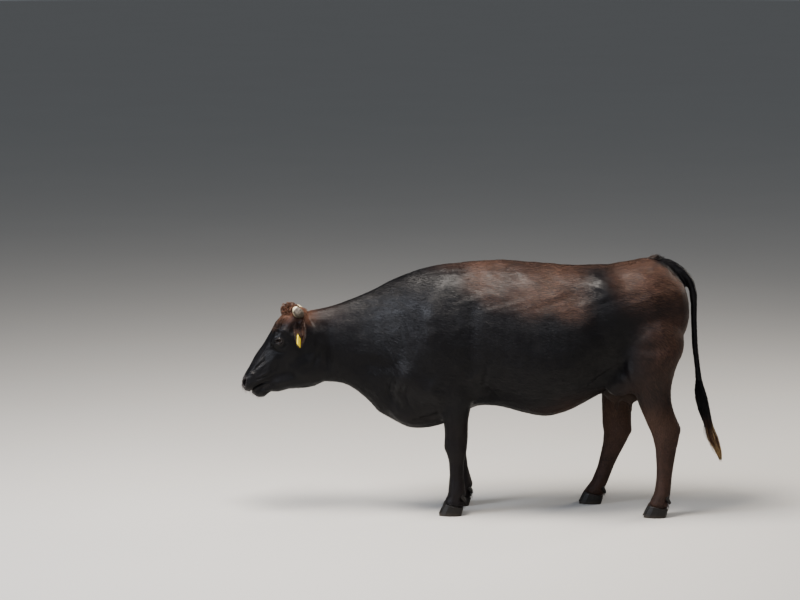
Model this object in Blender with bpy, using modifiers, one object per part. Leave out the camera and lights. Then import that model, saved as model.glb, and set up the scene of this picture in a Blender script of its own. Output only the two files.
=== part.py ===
"""A black beef cow standing still, life size, as closed solids: one for each part a person would name.

Metres, +Z up. The cow faces -X and its left side is towards -Y. The hooves stand on Z = 0.

The body is modelled whole: lofts for the trunk, head, jaw and legs are fused by a voxel remesh,
smoothed where muscles run into each other, touched up with named swellings and hollows, and thinned.
Eyes, horns, ears, claws, tail, udder and ear tags are made on their own and let into sockets.
Then the body is parted into its named pieces by thin cuts.
"""

import math
from collections import namedtuple

import bmesh
import bpy
import numpy as np
from mathutils import Matrix, Vector, noise

# Driving dimensions of the animal
WITHERS_HEIGHT = 1.30
GAP = 0.0003  # clearance between pieces that meet

# How fine the fused body is
VOXEL = 0.007
BODY_TRIANGLES = 3170
KEEP_DETAIL = 0.0020  # how strongly thinning spares the head
RING_POINTS = 28
STEPS_BETWEEN = 5

# Everything below is drawn for a cow of this height at the withers, and scaled to WITHERS_HEIGHT
DRAWN_HEIGHT = 1.30
SCALE = WITHERS_HEIGHT / DRAWN_HEIGHT

LEFT, RIGHT = -1, 1  # side along Y

# A cross-section that stands on a line in the side view, from its top point to its bottom point (x, z).
# widest is the share of the way up where it is widest. The exponents shape its upper and lower half:
# 2 is round, more is squarer, less is more like a ridge. y is where its middle lies, sideways.
Section = namedtuple("Section", "top bottom half_width widest upper lower y", defaults=(0.5, 2.0, 2.0, 0.0))

# The trunk with the neck, from the throat to the buttocks
TRUNK = [
    Section((-0.905, 1.056), (-0.850, 0.690), 0.070, 0.55, 1.9, 2.0),
    Section((-0.860, 1.067), (-0.800, 0.678), 0.088, 0.52, 1.9, 2.1),
    Section((-0.765, 1.094), (-0.705, 0.662), 0.100, 0.48, 1.8, 2.0),
    Section((-0.622, 1.150), (-0.600, 0.588), 0.122, 0.45, 1.7, 1.8),
    Section((-0.545, 1.186), (-0.545, 0.524), 0.142, 0.45, 1.7, 1.8),
    Section((-0.469, 1.226), (-0.480, 0.486), 0.165, 0.47, 1.7, 1.8),
    Section((-0.342, 1.274), (-0.380, 0.436), 0.212, 0.50, 1.8, 1.9),
    Section((-0.214, 1.304), (-0.265, 0.436), 0.240, 0.52, 1.8, 2.0),
    Section((-0.130, 1.312), (-0.140, 0.480), 0.258, 0.51, 1.9, 2.1),
    Section((-0.040, 1.318), (-0.030, 0.551), 0.268, 0.49, 2.0, 2.2),
    Section((0.090, 1.327), (0.090, 0.553), 0.292, 0.46, 2.1, 2.2),
    Section((0.210, 1.319), (0.210, 0.522), 0.314, 0.45, 2.2, 2.2),
    Section((0.330, 1.306), (0.330, 0.500), 0.324, 0.45, 2.3, 2.1),
    Section((0.440, 1.298), (0.440, 0.524), 0.318, 0.46, 2.5, 2.1),
    Section((0.540, 1.293), (0.540, 0.572), 0.300, 0.50, 2.7, 2.0),
    Section((0.640, 1.295), (0.640, 0.628), 0.275, 0.56, 2.8, 2.0),
    Section((0.760, 1.316), (0.760, 0.680), 0.245, 0.62, 2.6, 2.1),
    Section((0.870, 1.334), (0.870, 0.730), 0.222, 0.64, 2.3, 2.2),
    Section((0.960, 1.312), (0.960, 0.800), 0.192, 0.64, 2.1, 2.2),
    Section((1.020, 1.250), (1.020, 0.870), 0.152, 0.60, 2.0, 2.1),
    Section((1.052, 1.190), (1.052, 0.940), 0.105, 0.55, 2.0, 2.0),
]

# The upper head, from the nose to the nape; bottom points run under the cheek
FACE = [
    Section((-1.247, 0.699), (-1.250, 0.655), 0.042, 0.48, 2.6, 2.6),
    Section((-1.236, 0.720), (-1.233, 0.636), 0.063, 0.50, 2.7, 2.5),
    Section((-1.208, 0.766), (-1.196, 0.630), 0.072, 0.50, 2.3, 2.5),
    Section((-1.177, 0.825), (-1.122, 0.656), 0.069, 0.44, 2.1, 2.3),
    Section((-1.134, 0.887), (-1.054, 0.682), 0.067, 0.46, 2.2, 2.1),
    Section((-1.096, 0.952), (-0.990, 0.706), 0.080, 0.58, 2.5, 2.0),
    Section((-1.059, 1.010), (-0.925, 0.726), 0.098, 0.66, 2.8, 2.0),
    Section((-1.020, 1.048), (-0.865, 0.752), 0.098, 0.68, 2.8, 2.0),
    Section((-0.970, 1.068), (-0.818, 0.790), 0.090, 0.66, 2.5, 2.0),
    Section((-0.924, 1.058), (-0.790, 0.840), 0.078, 0.60, 2.1, 2.0),
]

# The lower jaw, from the lip to the angle of the jaw, with a groove behind the chin
JAW = [
    Section((-1.197, 0.636), (-1.190, 0.614), 0.028, 0.50, 2.0, 2.2),
    Section((-1.186, 0.658), (-1.166, 0.600), 0.045, 0.55, 2.2, 2.3),
    Section((-1.146, 0.674), (-1.132, 0.600), 0.051, 0.55, 2.2, 2.2),
    Section((-1.112, 0.684), (-1.098, 0.628), 0.048, 0.55, 2.1, 2.1),
    Section((-1.076, 0.694), (-1.062, 0.627), 0.050, 0.55, 2.0, 2.0),
    Section((-1.005, 0.730), (-0.993, 0.642), 0.055, 0.60, 2.0, 1.8),
    Section((-0.940, 0.800), (-0.905, 0.646), 0.070, 0.62, 2.0, 1.8),
    Section((-0.890, 0.860), (-0.845, 0.667), 0.080, 0.58, 2.0, 1.9),
    Section((-0.850, 0.900), (-0.804, 0.688), 0.076, 0.55, 2.0, 2.0),
]

# A limb is a chain of joints (x, z), each with its distance from the middle of the body
Joint = namedtuple("Joint", "x z y")
# and a list of girths: on which bone, how far along it, then the reach to the front, back and each side
Girth = namedtuple("Girth", "bone share front back half_width")

FORE_GIRTHS = [
    Girth(0, 0.00, 0.120, 0.120, 0.060),
    Girth(0, 0.35, 0.125, 0.125, 0.075),
    Girth(0, 0.72, 0.112, 0.105, 0.078),
    Girth(0, 1.00, 0.100, 0.077, 0.074),
    Girth(1, 0.22, 0.090, 0.067, 0.067),
    Girth(1, 0.45, 0.076, 0.057, 0.058),
    Girth(1, 0.70, 0.069, 0.059, 0.050),
    Girth(1, 0.88, 0.070, 0.058, 0.049),
    Girth(1, 1.00, 0.066, 0.056, 0.050),
    Girth(2, 0.16, 0.050, 0.048, 0.044),
    Girth(2, 0.34, 0.041, 0.038, 0.035),
    Girth(2, 0.62, 0.040, 0.037, 0.033),
    Girth(2, 0.82, 0.044, 0.042, 0.038),
    Girth(2, 1.00, 0.047, 0.048, 0.046),
    Girth(3, 0.40, 0.045, 0.045, 0.045),
    Girth(3, 0.80, 0.052, 0.050, 0.051),
    Girth(3, 1.25, 0.054, 0.052, 0.053),
]
HIND_GIRTHS = [
    Girth(0, 0.00, 0.150, 0.120, 0.085),
    Girth(0, 0.30, 0.160, 0.170, 0.115),
    Girth(0, 0.60, 0.140, 0.195, 0.120),
    Girth(0, 0.95, 0.112, 0.165, 0.104),
    Girth(1, 0.25, 0.096, 0.124, 0.082),
    Girth(1, 0.48, 0.091, 0.094, 0.064),
    Girth(1, 0.70, 0.084, 0.082, 0.052),
    Girth(1, 0.90, 0.078, 0.086, 0.046),
    Girth(1, 1.02, 0.072, 0.092, 0.047),
    Girth(2, 0.14, 0.056, 0.083, 0.045),
    Girth(2, 0.32, 0.042, 0.070, 0.037),
    Girth(2, 0.60, 0.034, 0.056, 0.033),
    Girth(2, 0.83, 0.034, 0.048, 0.037),
    Girth(2, 1.00, 0.040, 0.044, 0.045),
    Girth(3, 0.40, 0.042, 0.043, 0.044),
    Girth(3, 0.80, 0.048, 0.048, 0.050),
    Girth(3, 1.25, 0.050, 0.050, 0.052),
]

# The stance: both forelegs under the shoulder, the right hind leg forward and the left one back.
# Fore: shoulder, elbow, knee, fetlock, coronet. Hind: hip, stifle, hock, fetlock, coronet.
LEGS = {
    "foreleg_left": (LEFT, FORE_GIRTHS, [
        Joint(-0.245, 0.850, 0.170), Joint(-0.120, 0.620, 0.150), Joint(-0.130, 0.341, 0.128),
        Joint(-0.127, 0.122, 0.122), Joint(-0.143, 0.052, 0.122)]),
    "foreleg_right": (RIGHT, FORE_GIRTHS, [
        Joint(-0.235, 0.850, 0.170), Joint(-0.116, 0.620, 0.150), Joint(-0.122, 0.341, 0.128),
        Joint(-0.086, 0.114, 0.122), Joint(-0.098, 0.052, 0.122)]),
    "hindleg_left": (LEFT, HIND_GIRTHS, [
        Joint(0.850, 1.060, 0.130), Joint(0.845, 0.760, 0.166), Joint(0.941, 0.458, 0.160),
        Joint(0.935, 0.124, 0.166), Joint(0.916, 0.054, 0.166)]),
    "hindleg_right": (RIGHT, HIND_GIRTHS, [
        Joint(0.840, 1.060, 0.130), Joint(0.736, 0.760, 0.166), Joint(0.715, 0.408, 0.160),
        Joint(0.630, 0.112, 0.170), Joint(0.604, 0.054, 0.170)]),
}
ANKLE, CORONET = 3, 4  # which joints of a limb these are

# Rounded masses fused with the lofts: name, centre (x, y, z) on the right side, radii,
# and turn about Y in degrees
MASSES = [
    ("cheek muscle", (-0.925, 0.050, 0.800), (0.090, 0.036, 0.105), -20),
    ("eye socket", (-1.044, 0.072, 0.917), (0.062, 0.030, 0.042), -50),
    ("cheek behind the mouth", (-1.035, 0.026, 0.704), (0.088, 0.034, 0.045), -25),
    ("poll", (-0.952, 0.040, 1.043), (0.044, 0.052, 0.030), 0),
    ("upper arm", (-0.260, 0.150, 0.690), (0.150, 0.075, 0.105), 28),
    ("brisket", (-0.350, 0.060, 0.560), (0.150, 0.085, 0.104), 8),
    ("flank fold", (0.735, 0.165, 0.720), (0.120, 0.045, 0.080), -38),
]

# Touches on the fused body: name, centre (x, y, z) on the right side, radii, push outwards (minus is inwards)
TOUCHES = [
    ("shoulder blade", (-0.250, 0.200, 0.960), (0.110, 0.150, 0.200), 0.020),
    ("upper edge of the blade", (-0.190, 0.120, 1.200), (0.080, 0.090, 0.070), 0.008),
    ("point of the shoulder", (-0.400, 0.190, 0.730), (0.065, 0.090, 0.070), 0.026),
    ("rump", (0.820, 0.230, 1.090), (0.150, 0.120, 0.130), 0.016),
    ("hip bone", (0.612, 0.245, 1.232), (0.078, 0.070, 0.060), 0.020),
    ("hollow before the hip", (0.490, 0.270, 1.170), (0.085, 0.100, 0.080), -0.020),
    ("hollow behind the hip", (0.725, 0.230, 1.230), (0.075, 0.080, 0.060), -0.010),
    ("pin bone", (1.000, 0.110, 1.165), (0.050, 0.060, 0.045), 0.016),
    ("buttock", (1.040, 0.130, 1.040), (0.080, 0.085, 0.130), 0.028),
    ("hollow beside the tail", (0.965, 0.062, 1.265), (0.050, 0.032, 0.050), -0.014),
    ("groove behind the shoulder", (-0.070, 0.250, 0.930), (0.045, 0.110, 0.200), -0.012),
    ("groove before the shoulder", (-0.410, 0.200, 0.960), (0.045, 0.110, 0.170), -0.012),
    ("hollow behind the elbow", (0.010, 0.230, 0.610), (0.070, 0.090, 0.060), -0.020),
    ("jugular groove", (-0.560, 0.130, 0.790), (0.110, 0.070, 0.045), -0.012),
    ("elbow", (-0.030, 0.200, 0.625), (0.040, 0.060, 0.045), 0.014),
    ("groove of the thigh", (0.880, 0.270, 0.900), (0.120, 0.080, 0.030), -0.008),
    ("stifle", (0.770, 0.230, 0.745), (0.060, 0.070, 0.060), 0.012),
    ("hollow of the flank", (0.610, 0.250, 0.800), (0.080, 0.090, 0.090), -0.018),
    ("belly side", (0.300, 0.330, 0.800), (0.200, 0.120, 0.160), 0.010),
    ("throat behind the jaw", (-0.805, 0.090, 0.850), (0.030, 0.060, 0.120), -0.014),
    ("temple", (-0.968, 0.098, 0.980), (0.026, 0.040, 0.030), -0.010),
    ("hollow under the eye", (-1.060, 0.080, 0.860), (0.035, 0.040, 0.040), -0.006),
]

EYE_RADIUS = 0.0185
EYE_CENTRE = (-1.048, 0.0895, 0.910)  # on the right side
PUPIL_FORWARD = 30  # degrees that the eye looks ahead of straight sideways

# Root and blunt end of each horn stub, and its half widths at both; the left one sits a little higher
HORNS = {
    LEFT: ((-0.950, 0.062, 1.053), (-0.953, 0.148, 1.077)),
    RIGHT: ((-0.952, 0.062, 1.044), (-0.957, 0.140, 1.045)),
}
HORN_RADII = (0.034, 0.027)
HORN_FLATNESS = 0.76
HORN_TURN = 42  # degrees that its longer width leans forward at the top

EAR_ROOT = (-0.935, 0.084, 1.008)
EAR_TIP = (-0.936, 0.190, 0.889)
EAR_WIDTH = 0.074
EAR_THICKNESS = 0.009
EAR_FACING = (-0.45, 0.58, 0.42)  # the way the hollow of the right ear faces

TAG_PLACE = 0.45  # how far down the ear the stud of the tag goes through it
TAG_ASIDE = 0.014  # and how far behind the middle of the ear
TAG_HANG = (0.061, 0.020, 0.034)  # from there to the middle of the flap: down the ear, forward and out
TAG_TURN = 100  # degrees that the flap is turned forward from the way the hollow of the ear faces
TAG_WIDTH, TAG_HEIGHT, TAG_THICKNESS = 0.040, 0.055, 0.0026
TAG_BUTTON = 0.014

TAIL = [  # x, z, radius down the middle of the body
    (0.870, 1.290, 0.030), (0.930, 1.301, 0.034), (0.970, 1.294, 0.033), (1.003, 1.280, 0.031),
    (1.036, 1.257, 0.029), (1.067, 1.226, 0.0245), (1.087, 1.190, 0.0205), (1.097, 1.152, 0.0186),
    (1.102, 1.100, 0.0166), (1.104, 1.000, 0.0152), (1.111, 0.870, 0.0150), (1.125, 0.765, 0.0140),
]
SWITCH = [
    (1.134, 0.690, 0.0170), (1.139, 0.640, 0.0290), (1.149, 0.590, 0.0350), (1.164, 0.530, 0.0320),
    (1.182, 0.472, 0.0255), (1.198, 0.420, 0.0195), (1.219, 0.363, 0.0145), (1.246, 0.300, 0.0100),
    (1.258, 0.250, 0.0040),
]
TAIL_SPLIT = 5  # the point where the tail leaves the rump and hangs free

TUFT_CENTRE = Vector((-0.996, 0.0, 1.064))  # of the woolly tuft on the poll
TUFT_RADII = (0.049, 0.062, 0.047)

CLAW_LENGTH = 0.120
CLAW_WIDTH = 0.052
CLEFT = 0.006
CORONET_SLOPE = 0.20  # the coronet falls this much for each metre towards the heel
TOE_REACH = 0.031  # how far the toe stands ahead of the coronet

# Where the head ends behind the ears, the muzzle behind the mouth and the neck before the shoulder, and how the
# cuts lean, in degrees
HEAD_CUT, HEAD_CUT_LEAN = (-0.868, 0, 1.085), -11
MUZZLE_CUT, MUZZLE_CUT_LEAN = (-1.090, 0, 0.750), -30
NECK_CUT, NECK_CUT_LEAN = (-0.400, 0, 1.270), 8

FLESH_COLOUR = (0.018, 0.014, 0.013)
BROWN_COLOUR = (0.060, 0.030, 0.020)
HORN_COLOUR = (0.420, 0.380, 0.290)
CLAW_COLOUR = (0.035, 0.030, 0.028)
EYE_COLOUR = (0.010, 0.008, 0.008)
TAG_COLOUR = (0.850, 0.720, 0.060)
UDDER_COLOUR = (0.140, 0.090, 0.080)


def clear_scene():
    for obj in list(bpy.data.objects):
        bpy.data.objects.remove(obj, do_unlink=True)


def make_collection(name, shown):
    collection = bpy.data.collections.new(name)
    bpy.context.scene.collection.children.link(collection)
    collection.hide_render = not shown
    return collection


def make_material(name, colour, roughness):
    material = bpy.data.materials.new(name)
    material.use_nodes = True
    shader = material.node_tree.nodes["Principled BSDF"]
    shader.inputs["Base Color"].default_value = (*colour, 1.0)
    shader.inputs["Roughness"].default_value = roughness
    return material


def add_object(name, mesh, collection, material=None):
    obj = bpy.data.objects.new(name, mesh)
    collection.objects.link(obj)
    if material:
        obj.data.materials.clear()
        obj.data.materials.append(material)
    return obj


def add_helper(name, mesh):
    """An object that only shapes others: it isn't rendered."""
    obj = add_object(name, mesh, HELPERS)
    obj.hide_render = True
    obj.display_type = "WIRE"
    return obj


def mesh_from(bm, name):
    bmesh.ops.recalc_face_normals(bm, faces=bm.faces)
    mesh = bpy.data.meshes.new(name)
    bm.to_mesh(mesh)
    bm.free()
    return mesh


def baked(obj):
    """The object's mesh as its modifiers leave it, as a new mesh."""
    graph = bpy.context.evaluated_depsgraph_get()
    return bpy.data.meshes.new_from_object(obj.evaluated_get(graph), depsgraph=graph)


def smooth_rows(rows, steps):
    """Points between the rows of a table on a Catmull-Rom spline, steps for each span."""
    table = np.array(rows, float)
    padded = np.vstack([2 * table[0] - table[1], table, 2 * table[-1] - table[-2]])
    made = []
    for k in range(len(table) - 1):
        p0, p1, p2, p3 = padded[k:k + 4]
        for t in np.arange(steps) / steps:
            made.append(0.5 * (2 * p1 + (p2 - p0) * t + (2 * p0 - 5 * p1 + 4 * p2 - p3) * t ** 2
                               + (3 * p1 - p0 - 3 * p2 + p3) * t ** 3))
    made.append(table[-1])
    return made


def ring_points(row):
    """The outline of one cross-section, in 3D, anticlockwise from its widest point."""
    top, bottom = Vector((row[0], 0, row[1])), Vector((row[2], 0, row[3]))
    half_width, widest, upper, lower, y = row[4:9]
    up = top - bottom
    middle = bottom + up * widest + Vector((0, y, 0))
    points = []
    for k in range(RING_POINTS):
        angle = 2 * math.pi * k / RING_POINTS
        across, along = math.cos(angle), math.sin(angle)
        power = upper if along > 0 else lower
        reach = (1 - widest) if along > 0 else widest
        side = math.copysign(abs(across) ** (2 / power), across)
        rise = math.copysign(abs(along) ** (2 / power), along)
        points.append(middle + Vector((0, half_width * side, 0)) + up * (reach * rise))
    return points


def loft(name, sections):
    """A closed skin through rounded cross-sections."""
    rows = [[*s.top, *s.bottom, *s[2:]] for s in sections]
    bm = bmesh.new()
    rings = [[bm.verts.new(p) for p in ring_points(row)] for row in smooth_rows(rows, STEPS_BETWEEN)]
    for a, b in zip(rings, rings[1:]):
        for k in range(RING_POINTS):
            m = (k + 1) % RING_POINTS
            bm.faces.new((a[k], a[m], b[m], b[k]))
    bm.faces.new(rings[0])
    bm.faces.new(reversed(rings[-1]))
    return add_helper(name, mesh_from(bm, name))


def limb_sections(side, girths, joints):
    """Cross-sections square to the bones of a limb, turned halfway at each joint."""
    spots = [Vector((j.x, side * j.y, j.z)) for j in joints]
    bones = [(b - a).normalized() for a, b in zip(spots, spots[1:])]
    sections = []
    for girth in girths:
        start, end = spots[girth.bone], spots[girth.bone + 1]
        centre = start.lerp(end, girth.share)
        near = bones[girth.bone]
        other = bones[max(girth.bone - 1, 0)] if girth.share < 0.5 else bones[min(girth.bone + 1, 3)]
        turn = max(0.0, abs(girth.share - 0.5) - 0.2) / 0.6
        along = near.lerp(other, min(turn, 0.5)).normalized()
        forward = Vector((along.z, 0, -along.x)).normalized()
        front, back = centre + forward * girth.front, centre - forward * girth.back
        middle = girth.back / (girth.front + girth.back)
        ends = (front.x, front.z), (back.x, back.z)
        sections.append(Section(*ends, girth.half_width, middle, y=centre.y))
    return sections


def ball(name, centre, radii, turn=0.0, segments=24):
    bm = bmesh.new()
    bmesh.ops.create_uvsphere(bm, u_segments=segments, v_segments=segments // 2, radius=1.0)
    place = Matrix.Translation(centre) @ Matrix.Rotation(math.radians(turn), 4, "Y")
    bm.transform(place @ Matrix.Diagonal((*radii, 1)))
    return add_helper(name, mesh_from(bm, name))


def fuse_body():
    """The whole body as one mesh: lofts and masses fused, smoothed, touched up and thinned."""
    forms = [loft("trunk_form", TRUNK), loft("face_form", FACE), loft("jaw_form", JAW)]
    for name, (side, girths, joints) in LEGS.items():
        forms.append(loft(name + "_form", limb_sections(side, girths, joints)))
    for name, centre, radii, turn in MASSES:
        for side in (LEFT, RIGHT):
            place = (centre[0], side * centre[1], centre[2])
            forms.append(ball(name.replace(" ", "_") + "_form", place, radii, turn))
    bm = bmesh.new()
    for form in forms:
        bm.from_mesh(form.data)
    body = add_helper("whole_body", mesh_from(bm, "whole_body"))
    remesh = body.modifiers.new("fuse", "REMESH")
    remesh.mode = "VOXEL"
    remesh.voxel_size = VOXEL
    body.data = baked(body)
    body.modifiers.clear()
    relax(body)
    touch_up(body.data)
    thin_out(body)
    return body


def relax(body):
    """Smooths the creases between fused forms: much on the trunk, little on the head and the lower legs."""
    points = coordinates(body.data)
    strong = body.vertex_groups.new(name="trunk")
    weight = np.clip((points[:, 2] - 0.45) / 0.25, 0, 1) * np.clip((points[:, 0] + 0.86) / 0.12, 0, 1)
    for step in range(1, 11):
        chosen = np.flatnonzero((weight > (step - 1) / 10) & (weight <= step / 10))
        strong.add([int(i) for i in chosen], step / 10, "REPLACE")
    for group, factor, rounds in (("", 0.5, 10), ("trunk", 0.6, 76)):
        smooth = body.modifiers.new("relax", "SMOOTH")
        smooth.factor = factor
        smooth.iterations = rounds
        smooth.vertex_group = group
    body.data = baked(body)
    body.modifiers.clear()


def coordinates(mesh):
    flat = np.empty(len(mesh.vertices) * 3, np.float32)
    mesh.vertices.foreach_get("co", flat)
    return flat.reshape(-1, 3).astype(float)


def touch_up(mesh):
    """Pushes the skin out or in around each named place, on both sides."""
    points = coordinates(mesh)
    normals = np.empty(len(mesh.vertices) * 3, np.float32)
    mesh.vertices.foreach_get("normal", normals)
    normals = normals.reshape(-1, 3)
    push = np.zeros(len(points))
    for _name, centre, radii, amount in TOUCHES:
        for side in (LEFT, RIGHT):
            away = (points - np.array(centre) * (1, side, 1)) / np.array(radii)
            push += amount * np.exp(-(away ** 2).sum(1))
    moved = points + normals * push[:, None]
    mesh.vertices.foreach_set("co", moved.astype(np.float32).ravel())
    mesh.update()


def thin_out(body):
    """Thins the mesh to its budget, keeping more of it on the head."""
    points = coordinates(body.data)
    keep = body.vertex_groups.new(name="keep")
    fine = points[:, 0] < -0.88
    keep.add([int(i) for i in np.flatnonzero(fine)], 0.5, "REPLACE")
    triangles = sum(len(p.vertices) - 2 for p in body.data.polygons)
    thin = body.modifiers.new("thin", "DECIMATE")
    thin.ratio = BODY_TRIANGLES / triangles
    thin.vertex_group = "keep"
    thin.vertex_group_factor = KEEP_DETAIL
    thin.invert_vertex_group = True
    body.data = baked(body)
    body.modifiers.clear()


def combine(obj, other, operation):
    """Applies a Boolean of obj with other, which stays as it is."""
    modifier = obj.modifiers.new(operation.lower(), "BOOLEAN")
    modifier.operation = operation
    modifier.solver = "EXACT"
    modifier.object = other
    mesh = baked(obj)
    obj.modifiers.clear()
    obj.data = mesh


def grown(obj, amount):
    """A helper copy of obj, with its skin moved out by amount."""
    bm = bmesh.new()
    bm.from_mesh(obj.data)
    bmesh.ops.recalc_face_normals(bm, faces=bm.faces)
    bm.normal_update()
    moves = [(v, v.normal * amount) for v in bm.verts]
    for v, move in moves:
        v.co += move
    return add_helper(obj.name + "_grown", mesh_from(bm, obj.name + "_grown"))


def let_into(body, piece, gap=GAP):
    """Cuts a socket in the body, so that the piece sits in it with a gap all round."""
    combine(body, grown(piece, gap), "DIFFERENCE")


def turned_about(pivot, degrees):
    """A turn about Y through a point."""
    pivot = Vector(pivot)
    turn = Matrix.Rotation(math.radians(degrees), 4, "Y")
    return Matrix.Translation(pivot) @ turn @ Matrix.Translation(-pivot)


def box(name, low, high, tilt=0.0):
    """A box helper between two corners, turned by tilt degrees about Y through its top middle."""
    low, high = Vector(low), Vector(high)
    bm = bmesh.new()
    bmesh.ops.create_cube(bm, size=1.0)
    middle = (low + high) / 2
    place = Matrix.Translation(middle) @ Matrix.Diagonal((*(high - low), 1))
    bm.transform(turned_about((middle.x, middle.y, high.z), tilt) @ place)
    return add_helper(name, mesh_from(bm, name))


def part_off(body, region, name, material):
    """Takes what lies in the region off the body, as its own piece with a thin cut between."""
    piece = add_object(name, body.data.copy(), COW, material)
    combine(piece, region, "INTERSECT")
    tidy(piece)
    combine(body, grown(region, GAP), "DIFFERENCE")
    return piece


def tidy(obj):
    """Keeps the largest closed body, welds doubled corners and cleans slivers."""
    bm = bmesh.new()
    bm.from_mesh(obj.data)
    bmesh.ops.remove_doubles(bm, verts=bm.verts, dist=0.00002)
    bmesh.ops.dissolve_degenerate(bm, edges=bm.edges, dist=0.00002)
    islands, seen = [], set()
    for start in bm.verts:
        if start in seen:
            continue
        island, todo = [], [start]
        seen.add(start)
        while todo:
            v = todo.pop()
            island.append(v)
            for edge in v.link_edges:
                w = edge.other_vert(v)
                if w not in seen:
                    seen.add(w)
                    todo.append(w)
        islands.append(island)
    islands.sort(key=len)
    for island in islands[:-1]:
        bmesh.ops.delete(bm, geom=island, context="VERTS")
    bmesh.ops.triangulate(bm, faces=bm.faces)
    bm.to_mesh(obj.data)
    bm.free()


def shade(obj):
    obj.data.shade_smooth()
    obj.data.set_sharp_from_angle(angle=math.radians(50))


def turned_stub(name, base, tip, radii, material, flatness=0.9, turn=0, rings=3, segments=10):
    """A blunt horn from base to tip with a rounded end."""
    base, tip = Vector(base), Vector(tip)
    along = tip - base
    lie = along.to_track_quat("Z", "Y").to_matrix().to_4x4() @ Matrix.Rotation(math.radians(turn), 4, "Z")
    bm = bmesh.new()
    loops = []
    for k in range(rings + 2):
        share = min(k / rings, 1.0)
        radius = radii[0] + (radii[1] - radii[0]) * share
        height = along.length * share
        if k == rings:
            height -= radii[1] * 0.18
        if k == rings + 1:
            radius *= 0.72
        ring = [Vector((radius * math.cos(a), radius * flatness * math.sin(a), height))
                for a in (2 * math.pi * i / segments for i in range(segments))]
        loops.append([bm.verts.new(Matrix.Translation(base) @ lie @ p) for p in ring])
    for a, b in zip(loops, loops[1:]):
        for i in range(segments):
            m = (i + 1) % segments
            bm.faces.new((a[i], a[m], b[m], b[i]))
    bm.faces.new(loops[0])
    bm.faces.new(reversed(loops[-1]))
    return add_object(name, mesh_from(bm, name), COW, material)


def make_eye(name, side, material):
    bm = bmesh.new()
    bmesh.ops.create_uvsphere(bm, u_segments=12, v_segments=7, radius=EYE_RADIUS)
    look = Matrix.Rotation(math.radians(side * PUPIL_FORWARD), 4, "Y")
    sideways = Matrix.Rotation(math.radians(90), 4, "X")
    place = Matrix.Translation((EYE_CENTRE[0], side * EYE_CENTRE[1], EYE_CENTRE[2]))
    bm.transform(place @ sideways @ look)
    return add_object(name, mesh_from(bm, name), COW, material)


def ear_frame(side):
    """Root, length down the ear, the way its hollow faces, and across it to the front."""
    root = Vector((EAR_ROOT[0], side * EAR_ROOT[1], EAR_ROOT[2]))
    along = Vector((EAR_TIP[0], side * EAR_TIP[1], EAR_TIP[2])) - root
    facing = Vector((EAR_FACING[0], side * EAR_FACING[1], EAR_FACING[2]))
    facing = (facing - along * (facing.dot(along) / along.length_squared)).normalized()
    across = along.cross(facing).normalized() * side
    return root, along, facing, across


def make_ear(name, side, material):
    """A hanging ear: a leaf with its edges curled forward, thick enough to be solid."""
    root, along, facing, across = ear_frame(side)
    rows, columns = 7, 4
    bm = bmesh.new()
    grid = []
    for i in range(rows + 1):
        t = i / rows
        leaf = math.sin(math.pi * (0.16 + 0.84 * t) ** 0.85) ** 0.75 if t < 1 else 0.10
        width = EAR_WIDTH * 0.5 * max(leaf, 0.10)
        curl = 1.25 - 0.75 * t
        row = []
        for j in range(columns + 1):
            bend = (2 * j / columns - 1) * curl
            sideways = width * math.sin(bend) / curl * 1.15
            lift = width * (1 - math.cos(bend)) / curl * 1.2 - 0.012 * math.sin(math.pi * t)
            row.append(bm.verts.new(root + along * t + across * sideways + facing * lift))
        grid.append(row)
    for a, b in zip(grid, grid[1:]):
        for j in range(columns):
            bm.faces.new((a[j], a[j + 1], b[j + 1], b[j]))
    shell = add_helper(name + "_shell", mesh_from(bm, name + "_shell"))
    solid = shell.modifiers.new("thickness", "SOLIDIFY")
    solid.thickness = EAR_THICKNESS
    solid.offset = 0.0
    return add_object(name, baked(shell), COW, material)


def between(name, start, end, width, breadth, facing):
    """A square bar from start to end, breadth thick the way it faces."""
    start, end = Vector(start), Vector(end)
    along = (end - start).normalized()
    normal = (facing - along * facing.dot(along)).normalized()
    turn = Matrix((along.cross(normal), normal, along)).transposed().to_4x4()
    bm = bmesh.new()
    bmesh.ops.create_cube(bm, size=1.0)
    bm.transform(Matrix.Translation((start + end) / 2) @ turn
                 @ Matrix.Diagonal((width, breadth, (end - start).length, 1)))
    return add_helper(name, mesh_from(bm, name))


def make_tag(name, side, material):
    """A flap tag hanging in the hollow of the ear, its stud through the ear and a round button behind."""
    root, along, facing, across = ear_frame(side)
    spot = root + along * TAG_PLACE - across * TAG_ASIDE - facing * 0.010
    down = along.normalized()
    hang, forward, out = TAG_HANG
    middle = spot + down * hang + across * forward + facing * out
    turn = math.radians(TAG_TURN)
    front = facing * math.cos(turn) + across * math.sin(turn)
    flap_top, flap_end = middle - down * TAG_HEIGHT / 2, middle + down * TAG_HEIGHT / 2
    head = spot + facing * 0.018
    whole = between(name + "_flap", flap_top, flap_end, TAG_WIDTH, TAG_THICKNESS, front)
    neck_ends = head - (flap_top - head) * 0.15, flap_top + down * 0.004
    neck = between(name + "_neck", *neck_ends, 0.012, 0.005, front)
    stud = between(name + "_stud", spot - facing * 0.0075, head, 0.009, 0.009, across)
    button = ball(name + "_button", (0, 0, 0), (TAG_BUTTON, TAG_BUTTON, 0.0018), 0, 8)
    lie = facing.to_track_quat("Z", "Y").to_matrix().to_4x4()
    button.data.transform(Matrix.Translation(spot - facing * 0.0075) @ lie)
    for block in (neck, stud, button):
        combine(whole, block, "UNION")
    return add_object(name, whole.data, COW, material)


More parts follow.
